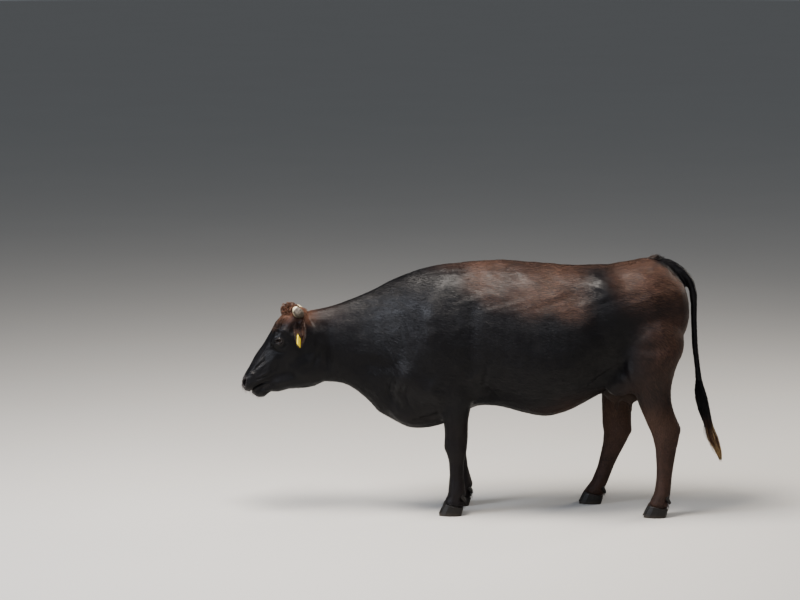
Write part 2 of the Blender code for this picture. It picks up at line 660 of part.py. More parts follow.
def tube(name, rows, material, steps=1, bevel_resolution=2):
    """A tapering round length down the middle of the body, as a bevelled curve made a mesh."""
    curve = bpy.data.curves.new(name, "CURVE")
    curve.dimensions = "3D"
    curve.bevel_depth = 1.0
    curve.bevel_resolution = bevel_resolution
    curve.use_fill_caps = True
    curve.twist_mode = "MINIMUM"
    path = smooth_rows(rows, steps)
    spline = curve.splines.new("POLY")
    spline.points.add(len(path) - 1)
    for point, (x, z, radius) in zip(spline.points, path):
        point.co = (x, 0, z, 1)
        point.radius = radius
    helper = add_helper(name + "_curve", curve)
    bm = bmesh.new()
    bm.from_mesh(baked(helper))
    bmesh.ops.remove_doubles(bm, verts=bm.verts, dist=0.00005)
    bpy.data.objects.remove(helper)
    return add_object(name, mesh_from(bm, name), COW, material)


def make_udder(material):
    """A small udder between the thighs with four teats, fused and thinned."""
    bm = bmesh.new()
    for side in (LEFT, RIGHT):
        for x, droop in ((0.700, 0.0), (0.775, 0.006)):
            quarter = bmesh.ops.create_uvsphere(bm, u_segments=20, v_segments=12, radius=1.0)
            place = Matrix.Translation((x, side * 0.034, 0.655 - droop))
            place @= Matrix.Diagonal((0.075, 0.062, 0.075, 1))
            bmesh.ops.transform(bm, verts=quarter["verts"], matrix=place)
            teat = bmesh.ops.create_cone(
                bm, cap_ends=True, segments=14, radius1=0.0085, radius2=0.0125, depth=0.085)
            place = Matrix.Translation((x + 0.004, side * 0.052, 0.565 - droop))
            bmesh.ops.transform(bm, verts=teat["verts"], matrix=place)
    lump = add_helper("udder_form", mesh_from(bm, "udder_form"))
    remesh = lump.modifiers.new("fuse", "REMESH")
    remesh.mode = "VOXEL"
    remesh.voxel_size = 0.004
    smooth = lump.modifiers.new("relax", "SMOOTH")
    smooth.factor = 0.5
    smooth.iterations = 8
    thin = lump.modifiers.new("thin", "DECIMATE")
    thin.ratio = 0.008
    return add_object("udder", baked(lump), COW, material)


def make_poll_tuft(material):
    """The woolly tuft on the poll, as one lumpy solid."""
    bm = bmesh.new()
    bmesh.ops.create_icosphere(bm, subdivisions=3, radius=1.0)
    bm.transform(Matrix.Translation(TUFT_CENTRE) @ Matrix.Rotation(math.radians(-12), 4, "Y")
                 @ Matrix.Diagonal((*TUFT_RADII, 1)))
    for v in bm.verts:
        v.co += 0.010 * noise.noise(v.co * 40) * (v.co - TUFT_CENTRE).normalized()
    bmesh.ops.triangulate(bm, faces=bm.faces)
    lump = add_helper("poll_tuft_form", mesh_from(bm, "poll_tuft_form"))
    thin = lump.modifiers.new("thin", "DECIMATE")
    thin.ratio = 0.25
    return add_object("poll_tuft", baked(lump), COW, material)


def coronet_height(joint, x):
    """Height of the slanting coronet plane above the floor at x, for a foot whose coronet joint is given."""
    return joint.z - CORONET_SLOPE * (x - joint.x)


def make_claw(name, side, joint, inner, material):
    """One claw of a cloven hoof: pointed at the toe, flat on the sole, with a sloping front wall."""
    out = -inner  # which way the claw's outer wall faces, seen from the middle of the foot
    bm = bmesh.new()
    loops = []
    levels = (0.0, 0.5, 1.0)
    count = 12
    for height in levels:
        toe = joint.x - 0.050 - TOE_REACH * (1 - height)
        heel = joint.x + CLAW_LENGTH - 0.064 - TOE_REACH * 0.55 + 0.012 * height
        width = CLAW_WIDTH - 0.003 * height
        ring = []
        for k in range(count):
            angle = 2 * math.pi * k / count
            along, across = math.cos(angle), math.sin(angle)
            x = (toe + heel) / 2 - along * (heel - toe) / 2
            bulge = abs(across) ** 0.75 * (1 - 0.28 * max(along, 0) ** 2)
            y = CLEFT / 2 + width * (0.5 + 0.5 * math.copysign(bulge, across))
            y -= 0.010 * max(along, 0) ** 2 * (0.5 + 0.5 * across)
            z = (coronet_height(joint, x) - GAP) * height
            ring.append(bm.verts.new((x, side * joint.y + out * y, z)))
        loops.append(ring)
    for a, b in zip(loops, loops[1:]):
        for i in range(count):
            m = (i + 1) % count
            bm.faces.new((a[i], a[m], b[m], b[i]))
    bm.faces.new(loops[0])
    bm.faces.new(reversed(loops[-1]))
    bmesh.ops.triangulate(bm, faces=bm.faces)
    return add_object(name, mesh_from(bm, name), COW, material)


def make_dewclaw(name, side, joints, inner, material):
    """A small blunt claw behind the fetlock."""
    ankle, foot = joints[ANKLE], joints[CORONET]
    down = Vector((foot.x - ankle.x, 0, foot.z - ankle.z)).normalized()
    back = Vector((-down.z, 0, down.x))
    centre = Vector((ankle.x, side * ankle.y - inner * 0.024, ankle.z))
    base = centre + back * 0.024 + down * 0.014
    tip = centre + back * 0.054 + down * 0.040
    return turned_stub(name, base, tip, (0.0155, 0.0095), material, rings=1, segments=7)


def make_hoof_zone(name, side, joint):
    """The space below the coronet plane of one foot."""
    zone = box(name, (joint.x - 0.20, side * joint.y - 0.10, joint.z - 0.30),
               (joint.x + 0.20, side * joint.y + 0.10, joint.z), math.degrees(math.atan(CORONET_SLOPE)))
    return zone


def part_leg(body, name, side, joints, top, front, back, flesh):
    """Parts a leg into its upper length, cannon and foot, and cuts the hoof zone away."""
    combine(body, make_hoof_zone(name + "_hoof_zone", side, joints[CORONET]), "DIFFERENCE")
    inner_y, outer_y = side * 0.055, side * 0.42
    low_y, high_y = min(inner_y, outer_y), max(inner_y, outer_y)
    ankle, knee = joints[ANKLE], joints[ANKLE - 1]
    cut_foot = ankle.z + 0.035
    cut_knee = knee.z - 0.052
    slant = math.degrees(math.atan2(ankle.x - knee.x, knee.z - ankle.z))
    reach = 0.30
    low, high = (ankle.x - reach, low_y, -0.1), (ankle.x + reach, high_y, cut_foot)
    foot = box(name + "_foot_zone", low, high, -slant / 2)
    part_off(body, foot, name + "_foot", flesh)
    low, high = (knee.x - reach, low_y, -0.2), (knee.x + reach, high_y, cut_knee)
    cannon = box(name + "_cannon_zone", low, high, -slant / 2)
    part_off(body, cannon, name + "_cannon", flesh)
    upper = box(name + "_upper_zone", (front, low_y, -0.2), (back, high_y, top))
    part_off(body, upper, name + "_upper", flesh)


def carve_face(body):
    """Nostrils and the slightly open mouth."""
    for side in (LEFT, RIGHT):
        nostril = ball("nostril_cutter", (-1.230, side * 0.052, 0.686), (0.022, 0.0085, 0.013), -55, 12)
        combine(body, nostril, "DIFFERENCE")
    bm = bmesh.new()
    lips = [(-1.213, 0.614), (-1.183, 0.652), (-1.108, 0.690), (-1.177, 0.644), (-1.206, 0.608)]
    halves = [[bm.verts.new((x, y, z)) for x, z in lips] for y in (-0.12, 0.12)]
    bm.faces.new(halves[0])
    bm.faces.new(reversed(halves[1]))
    for k in range(len(lips)):
        m = (k + 1) % len(lips)
        bm.faces.new((halves[0][k], halves[1][k], halves[1][m], halves[0][m]))
    combine(body, add_helper("mouth_cutter", mesh_from(bm, "mouth_cutter")), "DIFFERENCE")


def stand_at_origin(objects):
    """Moves every piece so that the origin is on the floor under the middle of the cow's box."""
    low = np.min([coordinates(o.data).min(0) for o in objects], axis=0)
    high = np.max([coordinates(o.data).max(0) for o in objects], axis=0)
    shift = Matrix.Translation((-(low[0] + high[0]) / 2, -(low[1] + high[1]) / 2, -low[2]))
    for obj in objects:
        obj.data.transform(Matrix.Scale(SCALE, 4) @ shift)


def main():
    flesh = make_material("black_coat", FLESH_COLOUR, 0.45)
    brown = make_material("brown_hair", BROWN_COLOUR, 0.6)
    horn = make_material("horn", HORN_COLOUR, 0.4)
    claw = make_material("claw_horn", CLAW_COLOUR, 0.45)
    eye = make_material("eye", EYE_COLOUR, 0.05)
    yellow = make_material("tag_plastic", TAG_COLOUR, 0.35)
    udder_skin = make_material("udder_skin", UDDER_COLOUR, 0.5)

    body = fuse_body()
    carve_face(body)
    for side, word in ((LEFT, "left"), (RIGHT, "right")):
        let_into(body, make_eye("eye_" + word, side, eye))
        base, tip = ((p[0], side * p[1], p[2]) for p in HORNS[side])
        stub = turned_stub("horn_" + word, base, tip, HORN_RADII, horn, HORN_FLATNESS, side * HORN_TURN)
        let_into(body, stub)
        ear = make_ear("ear_" + word, side, flesh)
        tag = make_tag("tag_" + word, side, yellow)
        let_into(body, ear, 4 * GAP)
        let_into(ear, tag)
        tidy(ear)
    let_into(body, make_poll_tuft(brown))
    for word in ("left", "right"):
        tuft = grown(bpy.data.objects["poll_tuft"], GAP)
        combine(bpy.data.objects["horn_" + word], tuft, "DIFFERENCE")
        tidy(bpy.data.objects["horn_" + word])
    tail = tube("tail_dock", TAIL + SWITCH, flesh)
    x, z, _radius = TAIL[TAIL_SPLIT]
    before, after = TAIL[TAIL_SPLIT - 1], TAIL[TAIL_SPLIT + 1]
    slant = math.degrees(math.atan2(before[1] - after[1], after[0] - before[0])) - 90
    root_zone = box("tail_root_zone", (x - 0.4, -0.1, z), (x + 0.4, 0.1, z + 0.4))
    root_zone.data.transform(turned_about((x, 0, z), slant))
    root = part_off(tail, root_zone, "tail_root", flesh)
    x, z, _radius = SWITCH[0]
    part_off(tail, box("tail_switch_zone", (x - 0.3, -0.1, z - 0.6), (x + 0.3, 0.1, z)), "tail_switch", brown)
    tidy(tail)
    let_into(body, root)
    let_into(body, make_udder(udder_skin))

    for name, (side, girths, joints) in LEGS.items():
        for inner, word in ((side, "inner"), (-side, "outer")):
            let_into(body, make_dewclaw(f"{name}_dewclaw_{word}", side, joints, inner, claw))
            make_claw(f"{name}_claw_{word}", side, joints[CORONET], inner, claw)
    for name, (side, girths, joints) in LEGS.items():
        fore = name.startswith("fore")
        top = 0.585 if fore else 0.600
        front = joints[1].x - (0.115 if fore else 0.130)
        back = joints[1].x + (0.20 if fore else 0.30)
        part_leg(body, name, side, joints, top, front, back, flesh)
    head_zone = box("head_zone", (-1.60, -0.5, -0.30), (HEAD_CUT[0], 0.5, 1.40))
    head_zone.data.transform(turned_about(HEAD_CUT, HEAD_CUT_LEAN))
    head = part_off(body, head_zone, "head", flesh)
    muzzle_zone = box("muzzle_zone", (-1.60, -0.5, 0.35), (MUZZLE_CUT[0], 0.5, 1.15))
    muzzle_zone.data.transform(turned_about(MUZZLE_CUT, MUZZLE_CUT_LEAN))
    part_off(head, muzzle_zone, "muzzle", flesh)
    tidy(head)
    neck_zone = box("neck_zone", (-1.60, -0.5, -0.30), (NECK_CUT[0], 0.5, 1.60))
    neck_zone.data.transform(turned_about(NECK_CUT, NECK_CUT_LEAN))
    part_off(body, neck_zone, "neck", flesh)
    trunk = add_object("trunk", body.data.copy(), COW, flesh)
    tidy(trunk)
    pieces = list(COW.objects)
    stand_at_origin(pieces)
    for piece in pieces:
        shade(piece)


clear_scene()
COW = make_collection("cow", shown=True)
HELPERS = make_collection("helpers", shown=False)
main()
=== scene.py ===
"""A standing black beef cow, life size and still: hide, coat, eyes, horns, hooves, ear tags and stage."""
import functools
import math

import bmesh
import bpy
import numpy as np
from mathutils import Matrix, Vector
from mathutils.kdtree import KDTree


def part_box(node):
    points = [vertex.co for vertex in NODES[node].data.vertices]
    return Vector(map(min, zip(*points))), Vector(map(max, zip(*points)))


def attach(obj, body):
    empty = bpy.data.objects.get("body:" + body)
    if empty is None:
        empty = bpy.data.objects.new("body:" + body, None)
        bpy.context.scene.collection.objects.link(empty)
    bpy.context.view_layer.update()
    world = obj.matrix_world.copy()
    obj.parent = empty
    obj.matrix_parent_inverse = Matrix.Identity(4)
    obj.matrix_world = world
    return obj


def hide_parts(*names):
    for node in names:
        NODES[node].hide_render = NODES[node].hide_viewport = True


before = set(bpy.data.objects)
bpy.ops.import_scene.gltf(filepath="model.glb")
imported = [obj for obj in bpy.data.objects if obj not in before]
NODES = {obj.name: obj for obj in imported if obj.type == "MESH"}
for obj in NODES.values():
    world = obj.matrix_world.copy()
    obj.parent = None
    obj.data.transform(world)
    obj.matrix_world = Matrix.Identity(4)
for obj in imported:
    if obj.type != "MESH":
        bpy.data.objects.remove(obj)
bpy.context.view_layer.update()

bl_info = {
    "name": "Standing Black Cow",
    "version": (1, 0, 0),
    "blender": (4, 5, 0),
    "location": "3D View > Sidebar > Cow",
    "description": "Dresses the cow's solids with a hide, a coat of tufts, eyes, horns, hooves and ear tags",
    "category": "Object",
}

SIDES = {"left": -1, "right": 1}  # the cow's left side faces -Y
LEGS = ("foreleg_left", "foreleg_right", "hindleg_left", "hindleg_right")
EARS = ("ear_left", "ear_right")
EYES = ("eye_left", "eye_right")
FLESH = ("trunk", "neck", "head", "muzzle", "udder", "tail_root", "tail_dock") + tuple(
    f"{leg}_{part}" for leg in LEGS for part in ("upper", "cannon", "foot")
)
ALL_UNDER_HIDE = FLESH + EARS + ("poll_tuft", "tail_switch") + EYES
HIDE = "hide"
MM = 0.001
TURN = 2 * np.pi

# How far the hide lies inside the solids, which reach out to the tips of the coat.
COAT_DEPTH = {
    "trunk": 0.0045, "neck": 0.0045, "upper": 0.0035, "head": 0.0022, "muzzle": 0.0012, "udder": 0.0008,
    "tail_root": 0.0010, "tail_dock": 0, "tail_switch": 0, "poll_tuft": 0, "ear": 0.0008, "eye": 0,
    "leg": 0.0006,
}
# The solids are grown by this before the hide is laid round them, and the hide is drawn in by it.
HIDE_MARGIN = 0.0006
HIDE_VOXEL, EAR_VOXEL, HORN_VOXEL, HOOF_VOXEL = 0.0074, 0.0030, 0.0016, 0.0026
# How far the hide is smoothed over each part.
FIRMNESS = {"trunk": 1, "neck": 1, "head": 0.24, "muzzle": 0.18, "udder": 0.9, "upper": 0.70}
LEAST_FIRM = 0.16
RING_GAP = 0.015  # the hanging tail's rings of points are further apart than this
PATCH = 0.003  # the side of a tuft's patch in its piece's UV map
SKIN_TONE = 0.42  # the hide's tone, a little under the middle of the tufts'

# --- where things are, from the solids' boxes and given numbers -----------------------------------


def corner(node, high=False):
    return np.array(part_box(node)[1 if high else 0])


EYE = {side: (corner(f"eye_{side}") + corner(f"eye_{side}", True)) / 2 for side in SIDES}
EYE_RADIUS = (corner("eye_left", True) - corner("eye_left"))[2] / 2
EYE_X, EYE_Z = EYE["left"][0], EYE["left"][2]
LID_HALF_WIDTH, LID_UPPER, LID_LOWER = 0.0172, 0.0074, -0.0078
NOSE_X = corner("muzzle")[0]
NOSTRIL_FORWARD, NOSTRIL_UP, NOSTRIL_OUT = 0.178, -0.226, 0.045
WHORL = np.array([EYE_X - 0.035, 0, EYE_Z + 0.05])  # the hair of the face parts from here, on the forehead
WITHERS_Z = 1.30
BODY_FRONT, BODY_BACK = corner("trunk")[0], corner("trunk", True)[0]


def along_body(share):
    """X at a share of the trunk's length, from the breast to the buttock."""
    return BODY_FRONT + share * (BODY_BACK - BODY_FRONT)


def on_body(share, up):
    """X and Z at thousandths of the trunk's length and of the height of the withers."""
    return along_body(share / 1000), up / 1000 * WITHERS_Z


def on_head(forward, up):
    """X and Z of a place on the head, millimetres in front of the eye and above it."""
    return EYE_X - forward * MM, EYE_Z + up * MM


MOUTH = [on_head(*place) for place in ((151, -278), (132, -254), (106, -239), (76, -225), (63, -220))]

# Ridges and grooves: width and height in mm, then the places of their line, as on_head and on_body take them.
HEAD_FOLDS = (
    (13, 5.5, (46, 36), (18, 58), (-20, 58), (-46, 40)),  # brow
    (12, 7.5, (-45, 165), (-6, 99), (32, 53)),  # rope of hair over the brow
    (9, -4.5, (-68, 140), (-30, 85), (6, 48)),
    (7, 2.8, (40, -4), (22, -40), (-18, -46), (-52, -18)),  # eye bag
    (6, -2.4, (50, -18), (26, -56), (-18, -62)),
    (8, -3.0, (44, 12), (60, -40)),  # hollow before the eye
    (20, -5.0, (-52, 30), (-92, 66), (-108, 110)),  # temple
    (14, 3.5, (20, -75), (60, -140), (88, -170)),  # crest of the cheek bone
    (16, -3.0, (-8, -100), (36, -170)),
    (7.5, 4.2, (111, -196), (84, -181), (56, -163)),  # folds above the lip
    (5, -3.6, (118, -208), (90, -195), (60, -178)),
    (7, 3.6, (132, -224), (104, -210), (74, -196)),
    (6, 3.0, (134, -142), (110, -119), (88, -98)),  # wrinkles of the nose
    (5, -2.4, (122, -146), (98, -124), (72, -102)),
    (6, 2.4, (112, -158), (84, -134), (58, -112)),
    (6, 2.0, (104, -96), (84, -68), (70, -40)),
    (6.5, 3.4, (174, -176), (152, -172), (130, -177)),  # over the nostril
    (16, -6.0, (-212, -30), (-200, -80), (-176, -140)),  # behind the jaw
    (24, 4.0, (-190, -30), (-176, -84), (-146, -130)),  # rear edge of the jaw muscle
    (12, 3.0, (40, -222), (-10, -228), (-60, -205)),  # lower jaw
    (6, -3.0, (62, -200), (36, -190), (20, -176)),  # corner of the mouth
)
BODY_FOLDS = (
    (80, 16.0, (215, 990), (188, 920), (160, 860), (145, 780)),  # shoulder blade
    (50, -4.5, (315, 930), (280, 830), (255, 730)),
    (36, -5.5, (120, 900), (100, 780), (110, 660)),  # before the shoulder
    (26, 9.5, (170, 560), (150, 520), (185, 480)),  # point of the shoulder
    (20, 6.0, (305, 600), (282, 560), (298, 510)),  # elbow
    (16, -6.0, (335, 640), (318, 540), (340, 490)),
    (20, -3.0, (930, 840), (845, 765), (795, 695), (750, 655)),  # thigh groove
    (34, 1.5, (925, 870), (845, 800), (785, 725)),
    (36, 1.2, (935, 800), (870, 740), (825, 670)),
    (16, 7.0, (785, 640), (800, 580), (815, 530)),  # fold of the flank
    (14, -6.0, (760, 640), (768, 585), (776, 540)),
    (10, -7.0, (660, 530), (715, 575), (750, 605)),
    (45, -8.0, (700, 860), (690, 780), (715, 700)),  # hollow of the flank
    (12, -8.5, (15, 540), (12, 500), (30, 455)),  # loose skin of the breast
    (14, 7.5, (45, 545), (40, 500), (62, 450)),
    (12, -5.0, (75, 530), (68, 480), (90, 430)),
    (12, -8.5, (100, 385), (150, 395), (190, 420)),
    *((14, 1.2, (375 + 44 * rib, 800), (369 + 44 * rib, 700), (353 + 44 * rib, 600)) for rib in range(7)),
)

# --- colours and materials ------------------------------------------------------------------------


def linear(hex_colour, alpha=True):
    """The linear colour of an sRGB hex value."""
    values = [int(hex_colour[i : i + 2], 16) / 255 for i in (1, 3, 5)]
    values = [v / 12.92 if v <= 0.04045 else ((v + 0.055) / 1.055) ** 2.4 for v in values]
    return tuple(values) + ((1.0,) if alpha else ())


def opaque(colour):
    return tuple(colour) + (1,)


def add_node(tree, kind, inputs=(), out=0, **settings):
    """Adds a node with its properties from settings, and returns its output named out. inputs holds for each
    socket, in order or by name or number, a value or the output that feeds it."""
    node = tree.nodes.new("ShaderNode" + kind)
    for name, value in settings.items():
        setattr(node, name, value)
    for key, value in inputs.items() if isinstance(inputs, dict) else enumerate(inputs):
        if isinstance(value, bpy.types.NodeSocket):
            tree.links.new(value, node.inputs[key])
        else:
            node.inputs[key].default_value = value
    return node.outputs[out] if node.outputs else None


def new_material(name):
    """A material, the function that adds a node to it, and the output that says where a point is."""
    material = bpy.data.materials.new(name)
    material.use_nodes = True
    material.node_tree.nodes.clear()
    add = functools.partial(add_node, material.node_tree)
    return material, add, add("TexCoord", out="Object")


GRAIN = {"Detail": 3.0, "Roughness": 0.55}  # of a noise, unless a material says otherwise
COLOUR = {"out": 2, "data_type": "RGBA"}  # a mix of colours: share on socket 0, the two colours on 6 and 7
TIMES = {"operation": "MULTIPLY"}
PLUS = {"operation": "ADD"}
LESS = {"operation": "SUBTRACT"}


def coat_colour(add, place, look):
    """The colour of the hair by the marks that the hide and every tuft carry, with the blotches of a
    sun-bleached back and the dark root and pale tip of each hair."""
    brown, rust, tip, tone = (
        add("Attribute", out="Fac", attribute_name=name) for name in ("brown", "rust", "tip", "tone")
    )
    size = 0.085  # of a blotch
    blotch = {"Vector": place, "Scale": 1 / size, "Detail": 4.0, "Roughness": 0.62, "Distortion": 0.9}
    streak = dict(GRAIN, Vector=place, Scale=1 / 0.012, Detail=2.0)  # locks of about 12 mm
    patchy = add("Math", [brown, add("MapRange", [add("TexNoise", blotch), 0.32, 0.64, 0.50, 1.30])], **TIMES)
    patchy = add("Math", [patchy, add("MapRange", [add("TexNoise", streak), 0.2, 0.8, 0.7, 1.2])], **TIMES)
    colour = add("Mix", {0: add("MapRange", [patchy]), 6: look["black"], 7: look["brown"]}, **COLOUR)
    colour = add("Mix", {0: rust, 6: colour, 7: look["rust"]}, **COLOUR)
    paler = add("Math", [tip, add("Math", [brown, rust], operation="MAXIMUM")], **TIMES)
    paler = add("Math", [paler, 0.55], **TIMES)
    colour = add("Mix", {0: paler, 6: colour, 7: look["bleached"]}, **COLOUR)
    # Each tuft's tone varies at random; on the hide the tone also carries the painted shade of the nostrils,
    # mouth and eye sockets.
    shade = add("Mix", {0: tone, 6: (0.62, 0.62, 0.62, 1), 7: (1.35, 1.35, 1.35, 1)}, **COLOUR)
    return add("Mix", {0: 1.0, 6: colour, 7: shade}, blend_type="MULTIPLY", **COLOUR)


def how_rough(add, place, least):
    """Roughness that wanders over a hand's breadth, with sun-bleached hair drier than black."""
    uneven = add("TexNoise", dict(GRAIN, Vector=place, Scale=1 / 0.070))
    uneven = add("MapRange", [uneven, 0.32, 0.66, least, least + 0.15])
    brown = add("Attribute", out="Fac", attribute_name="brown")
    return add("Math", [uneven, add("Math", [brown, 0.24], **TIMES)], **PLUS)


def hide_material(look):
    """Cattle hide under a short summer coat: dense oily hair lying flat, so a satin gloss broken by fine
    streaks along the hair. The nose pad and lids are bare, wet and pebbled, and the udder is soft creased
    skin."""
    material, add, place = new_material("hide_black_cattle_skin")
    lie = add("Attribute", out="Vector", attribute_name="lie")
    bare, udder, tone = (
        add("Attribute", out="Fac", attribute_name=name) for name in ("bare", "udder", "tone")
    )
    hair = coat_colour(add, place, look)
    pores = add("TexNoise", dict(GRAIN, Vector=place, Scale=1 / 0.009))
    skin = add("Mix", {0: pores, 6: look["pad"], 7: look["pad_pale"]}, **COLOUR)
    skin = add("Mix", {0: udder, 6: skin, 7: look["udder"]}, **COLOUR)
    # Painted shade: the bare skin goes to near black where the hide's tone falls, inside the nostrils and
    # mouth and round the eyes.
    skin = add("Mix", {0: add("MapRange", [tone, 0.0, SKIN_TONE]), 6: look["pit_painted_shade"], 7: skin}, **COLOUR)
    # Hairs are 0.06 mm across, too fine to show: streaks of 2.2 mm by 20 mm stand for them.
    drawn_out = add("Mapping", {"Vector": lie, "Scale": (1 / (2.2 * MM), 1 / (20 * MM), 1.0)})
    streaks = add("TexNoise", {"Vector": drawn_out, "Scale": 1.0, "Detail": 2.0, "Roughness": 0.6})
    dents = add("TexNoise", dict(GRAIN, Vector=place, Scale=1 / 0.030, Detail=2.0))
    pebbles = add("TexVoronoi", {"Vector": place, "Scale": 1 / (3.2 * MM)}, "Distance")
    hairy = add("Math", [add("Math", [streaks, 0.9], **TIMES), add("Math", [dents, 1.4], **TIMES)], **PLUS)
    height = add("Mix", {0: bare, 2: hairy, 3: add("Math", [pebbles, 0.5], **TIMES)}, data_type="FLOAT")
    damp = add("Math", [bare, add("Math", [udder, 2.0], **TIMES)], **LESS)
    wet = add("Math", [how_rough(add, place, 0.37), add("Math", [damp, 0.16], **TIMES)], **LESS)
    surface = {
        "Base Color": add("Mix", {0: bare, 6: hair, 7: skin}, **COLOUR),
        "Roughness": wet,
        "IOR": 1.50,
        "Specular IOR Level": 0.15,
        "Normal": add("Bump", {"Height": height, "Strength": 0.55, "Distance": 1.2 * MM}),
    }
    add("OutputMaterial", [add("BsdfPrincipled", surface)])
    return material


def coat_material(name, look, roughness=0.42):
    """Cattle hair: smooth oily shafts, black to sun-bleached brown, so each lock has a long soft glint and
    the whole coat a bluish satin sheen towards the light."""
    material, add, place = new_material(name)
    surface = {
        "Base Color": coat_colour(add, place, look),
        "Roughness": how_rough(add, place, roughness - 0.05),
        "IOR": 1.52,
        "Specular IOR Level": 0.15,
        "Sheen Weight": 0.015,
        "Sheen Roughness": 0.35,
        "Sheen Tint": linear("#9AA4B8"),
    }
    add("OutputMaterial", [add("BsdfPrincipled", surface)])
    return material


def eye_material(settings):
    """A living eye: dark brown iris and a wide blue-black pupil under a wet clear cornea, so it holds one
    sharp highlight."""
    material, add, place = new_material("eye_wet_cornea_over_brown_iris")
    pupil, iris = (
        add("VectorMath", [add("Mapping", {"Vector": place, "Scale": (1 / wide, 1 / tall, 0)})], "Value",
            operation="LENGTH")
        for wide, tall in ((0.0072, 0.0042), (0.0118, 0.0118))
    )
    fibres = add("TexNoise", dict(GRAIN, Vector=place, Scale=1 / 0.0012))
    brown = add("Mix", {0: fibres, 6: opaque(settings.iris), 7: linear("#24150C")}, **COLOUR)
    # The white of the eye is painted nearly black, as painted shade under the lids.
    eye_white_in_painted_shade = add("Mix", {0: fibres, 6: linear("#1C1412"), 7: linear("#120D0B")}, **COLOUR)
    colour = add("Mix", {0: add("MapRange", [iris, 0.94, 1.04]), 6: brown, 7: eye_white_in_painted_shade}, **COLOUR)
    colour = add("Mix", {0: add("MapRange", [pupil, 0.92, 1.06]), 6: linear("#05070C"), 7: colour}, **COLOUR)
    surface = {
        "Base Color": colour, "Roughness": 0.08, "IOR": 1.38, "Specular IOR Level": 0.12, "Coat Weight": 0.1,
        "Coat Roughness": 0.02,
    }
    add("OutputMaterial", [add("BsdfPrincipled", surface)])
    return material


def horn_material(settings):
    """Keratin horn, rubbed blunt: ivory and waxy round the root, grey-brown, flaked and dull over the end."""
    material, add, place = new_material("horn_weathered_keratin")
    end = add("Attribute", out="Fac", attribute_name="end")
    flakes = {"Vector": place, "Scale": 1 / 0.010, "Detail": 4.0, "Roughness": 0.65, "Distortion": 0.5}
    mottle = add("TexNoise", flakes)
    fine = add("TexNoise", dict(GRAIN, Vector=place, Scale=1 / 0.0025))
    share = add("MapRange", [fine, 0.3, 0.75])
    pale = add("Mix", {0: share, 6: opaque(settings.horn_pale), 7: linear("#9A8B68")}, **COLOUR)
    share = add("MapRange", [mottle, 0.35, 0.65])
    dark = add("Mix", {0: share, 6: opaque(settings.horn_dark), 7: linear("#51483A")}, **COLOUR)
    dark = add("Mix", {0: add("MapRange", [fine, 0.62, 0.72]), 6: dark, 7: linear("#120E0B")}, **COLOUR)
    edge = add("Math", [end, add("MapRange", [mottle, 0.3, 0.7, -0.25, 0.25])], **PLUS)
    rough = add("Math", [mottle, fine], **PLUS)
    surface = {
        "Base Color": add("Mix", {0: add("MapRange", [edge, 0.25, 0.75]), 6: pale, 7: dark}, **COLOUR),
        "Roughness": add("MapRange", [edge, 0.2, 0.8, 0.34, 0.62]),
        "IOR": 1.54,
        "Normal": add("Bump", {"Height": rough, "Strength": 0.5, "Distance": 0.8 * MM}),
    }
    add("OutputMaterial", [add("BsdfPrincipled", surface)])
    return material


def claw_material(settings):
    """Hoof horn: grey-black keratin with fine upright tubules and growth rings, scuffed pale and dusty at the
    ground."""
    material, add, place = new_material("hoof_horn_scuffed")
    upright = add("Mapping", {"Vector": place, "Scale": (1 / (2.0 * MM), 1 / (2.0 * MM), 1 / (40 * MM))})
    level = add("Mapping", {"Vector": place, "Scale": (6.0, 6.0, 1 / (7 * MM))})
    tubules = add("TexNoise", dict(GRAIN, Vector=upright, Scale=1.0))
    rings = add("TexNoise", dict(GRAIN, Vector=level, Scale=1.0, Detail=2.0))
    patches = add("TexNoise", dict(GRAIN, Vector=place, Scale=1 / 0.02))
    low = add("MapRange", [add("SeparateXYZ", [place], "Z"), 0.022, 0.0])
    dust = add("Math", [low, add("MapRange", [patches, 0.3, 0.7, 0.3, 1.0])], **TIMES)
    share = add("MapRange", [tubules, 0.35, 0.7])
    colour = add("Mix", {0: share, 6: opaque(settings.claw), 7: linear("#1C1916")}, **COLOUR)
    rings = add("MapRange", [rings, 0.5, 0.7, 0, 0.5])
    colour = add("Mix", {0: rings, 6: colour, 7: linear("#100E0D")}, **COLOUR)
    both = add("Math", [tubules, rings], **PLUS)
    surface = {
        "Base Color": add("Mix", {0: dust, 6: colour, 7: linear("#332C24")}, **COLOUR),
        "Roughness": add("MapRange", [dust, 0, 0.8, 0.42, 0.78]),
        "IOR": 1.54,
        "Specular IOR Level": 0.18,
        "Normal": add("Bump", {"Height": both, "Strength": 0.45, "Distance": 0.7 * MM}),
    }
    add("OutputMaterial", [add("BsdfPrincipled", surface)])
    return material


def tag_material(settings):
    """Polyurethane ear tag, injection moulded: a soft even gloss, the yellow a little faded and grubby."""
    material, add, place = new_material("polyurethane_yellow_moulded")
    grime = add("TexNoise", {"Vector": place, "Scale": 1 / 0.012, "Detail": 4.0, "Roughness": 0.6})
    grime = add("MapRange", [grime, 0.45, 0.75, 0.0, 0.45])
    yellow = add("Mix", {0: grime, 6: opaque(settings.tag), 7: linear("#9C8A2C")}, **COLOUR)
    stud = add("Attribute", out="Fac", attribute_name="stud")
    grain = add("TexNoise", dict(GRAIN, Vector=place, Scale=1 / 0.0015, Detail=2.0))
    surface = {
        "Base Color": add("Mix", {0: stud, 6: yellow, 7: linear("#15110D")}, **COLOUR),
        "Roughness": add("MapRange", [grime, 0, 0.5, 0.38, 0.6]),
        "IOR": 1.50,
        "Normal": add("Bump", {"Height": grain, "Strength": 0.15, "Distance": 0.3 * MM}),
    }
    add("OutputMaterial", [add("BsdfPrincipled", surface)])
    return material


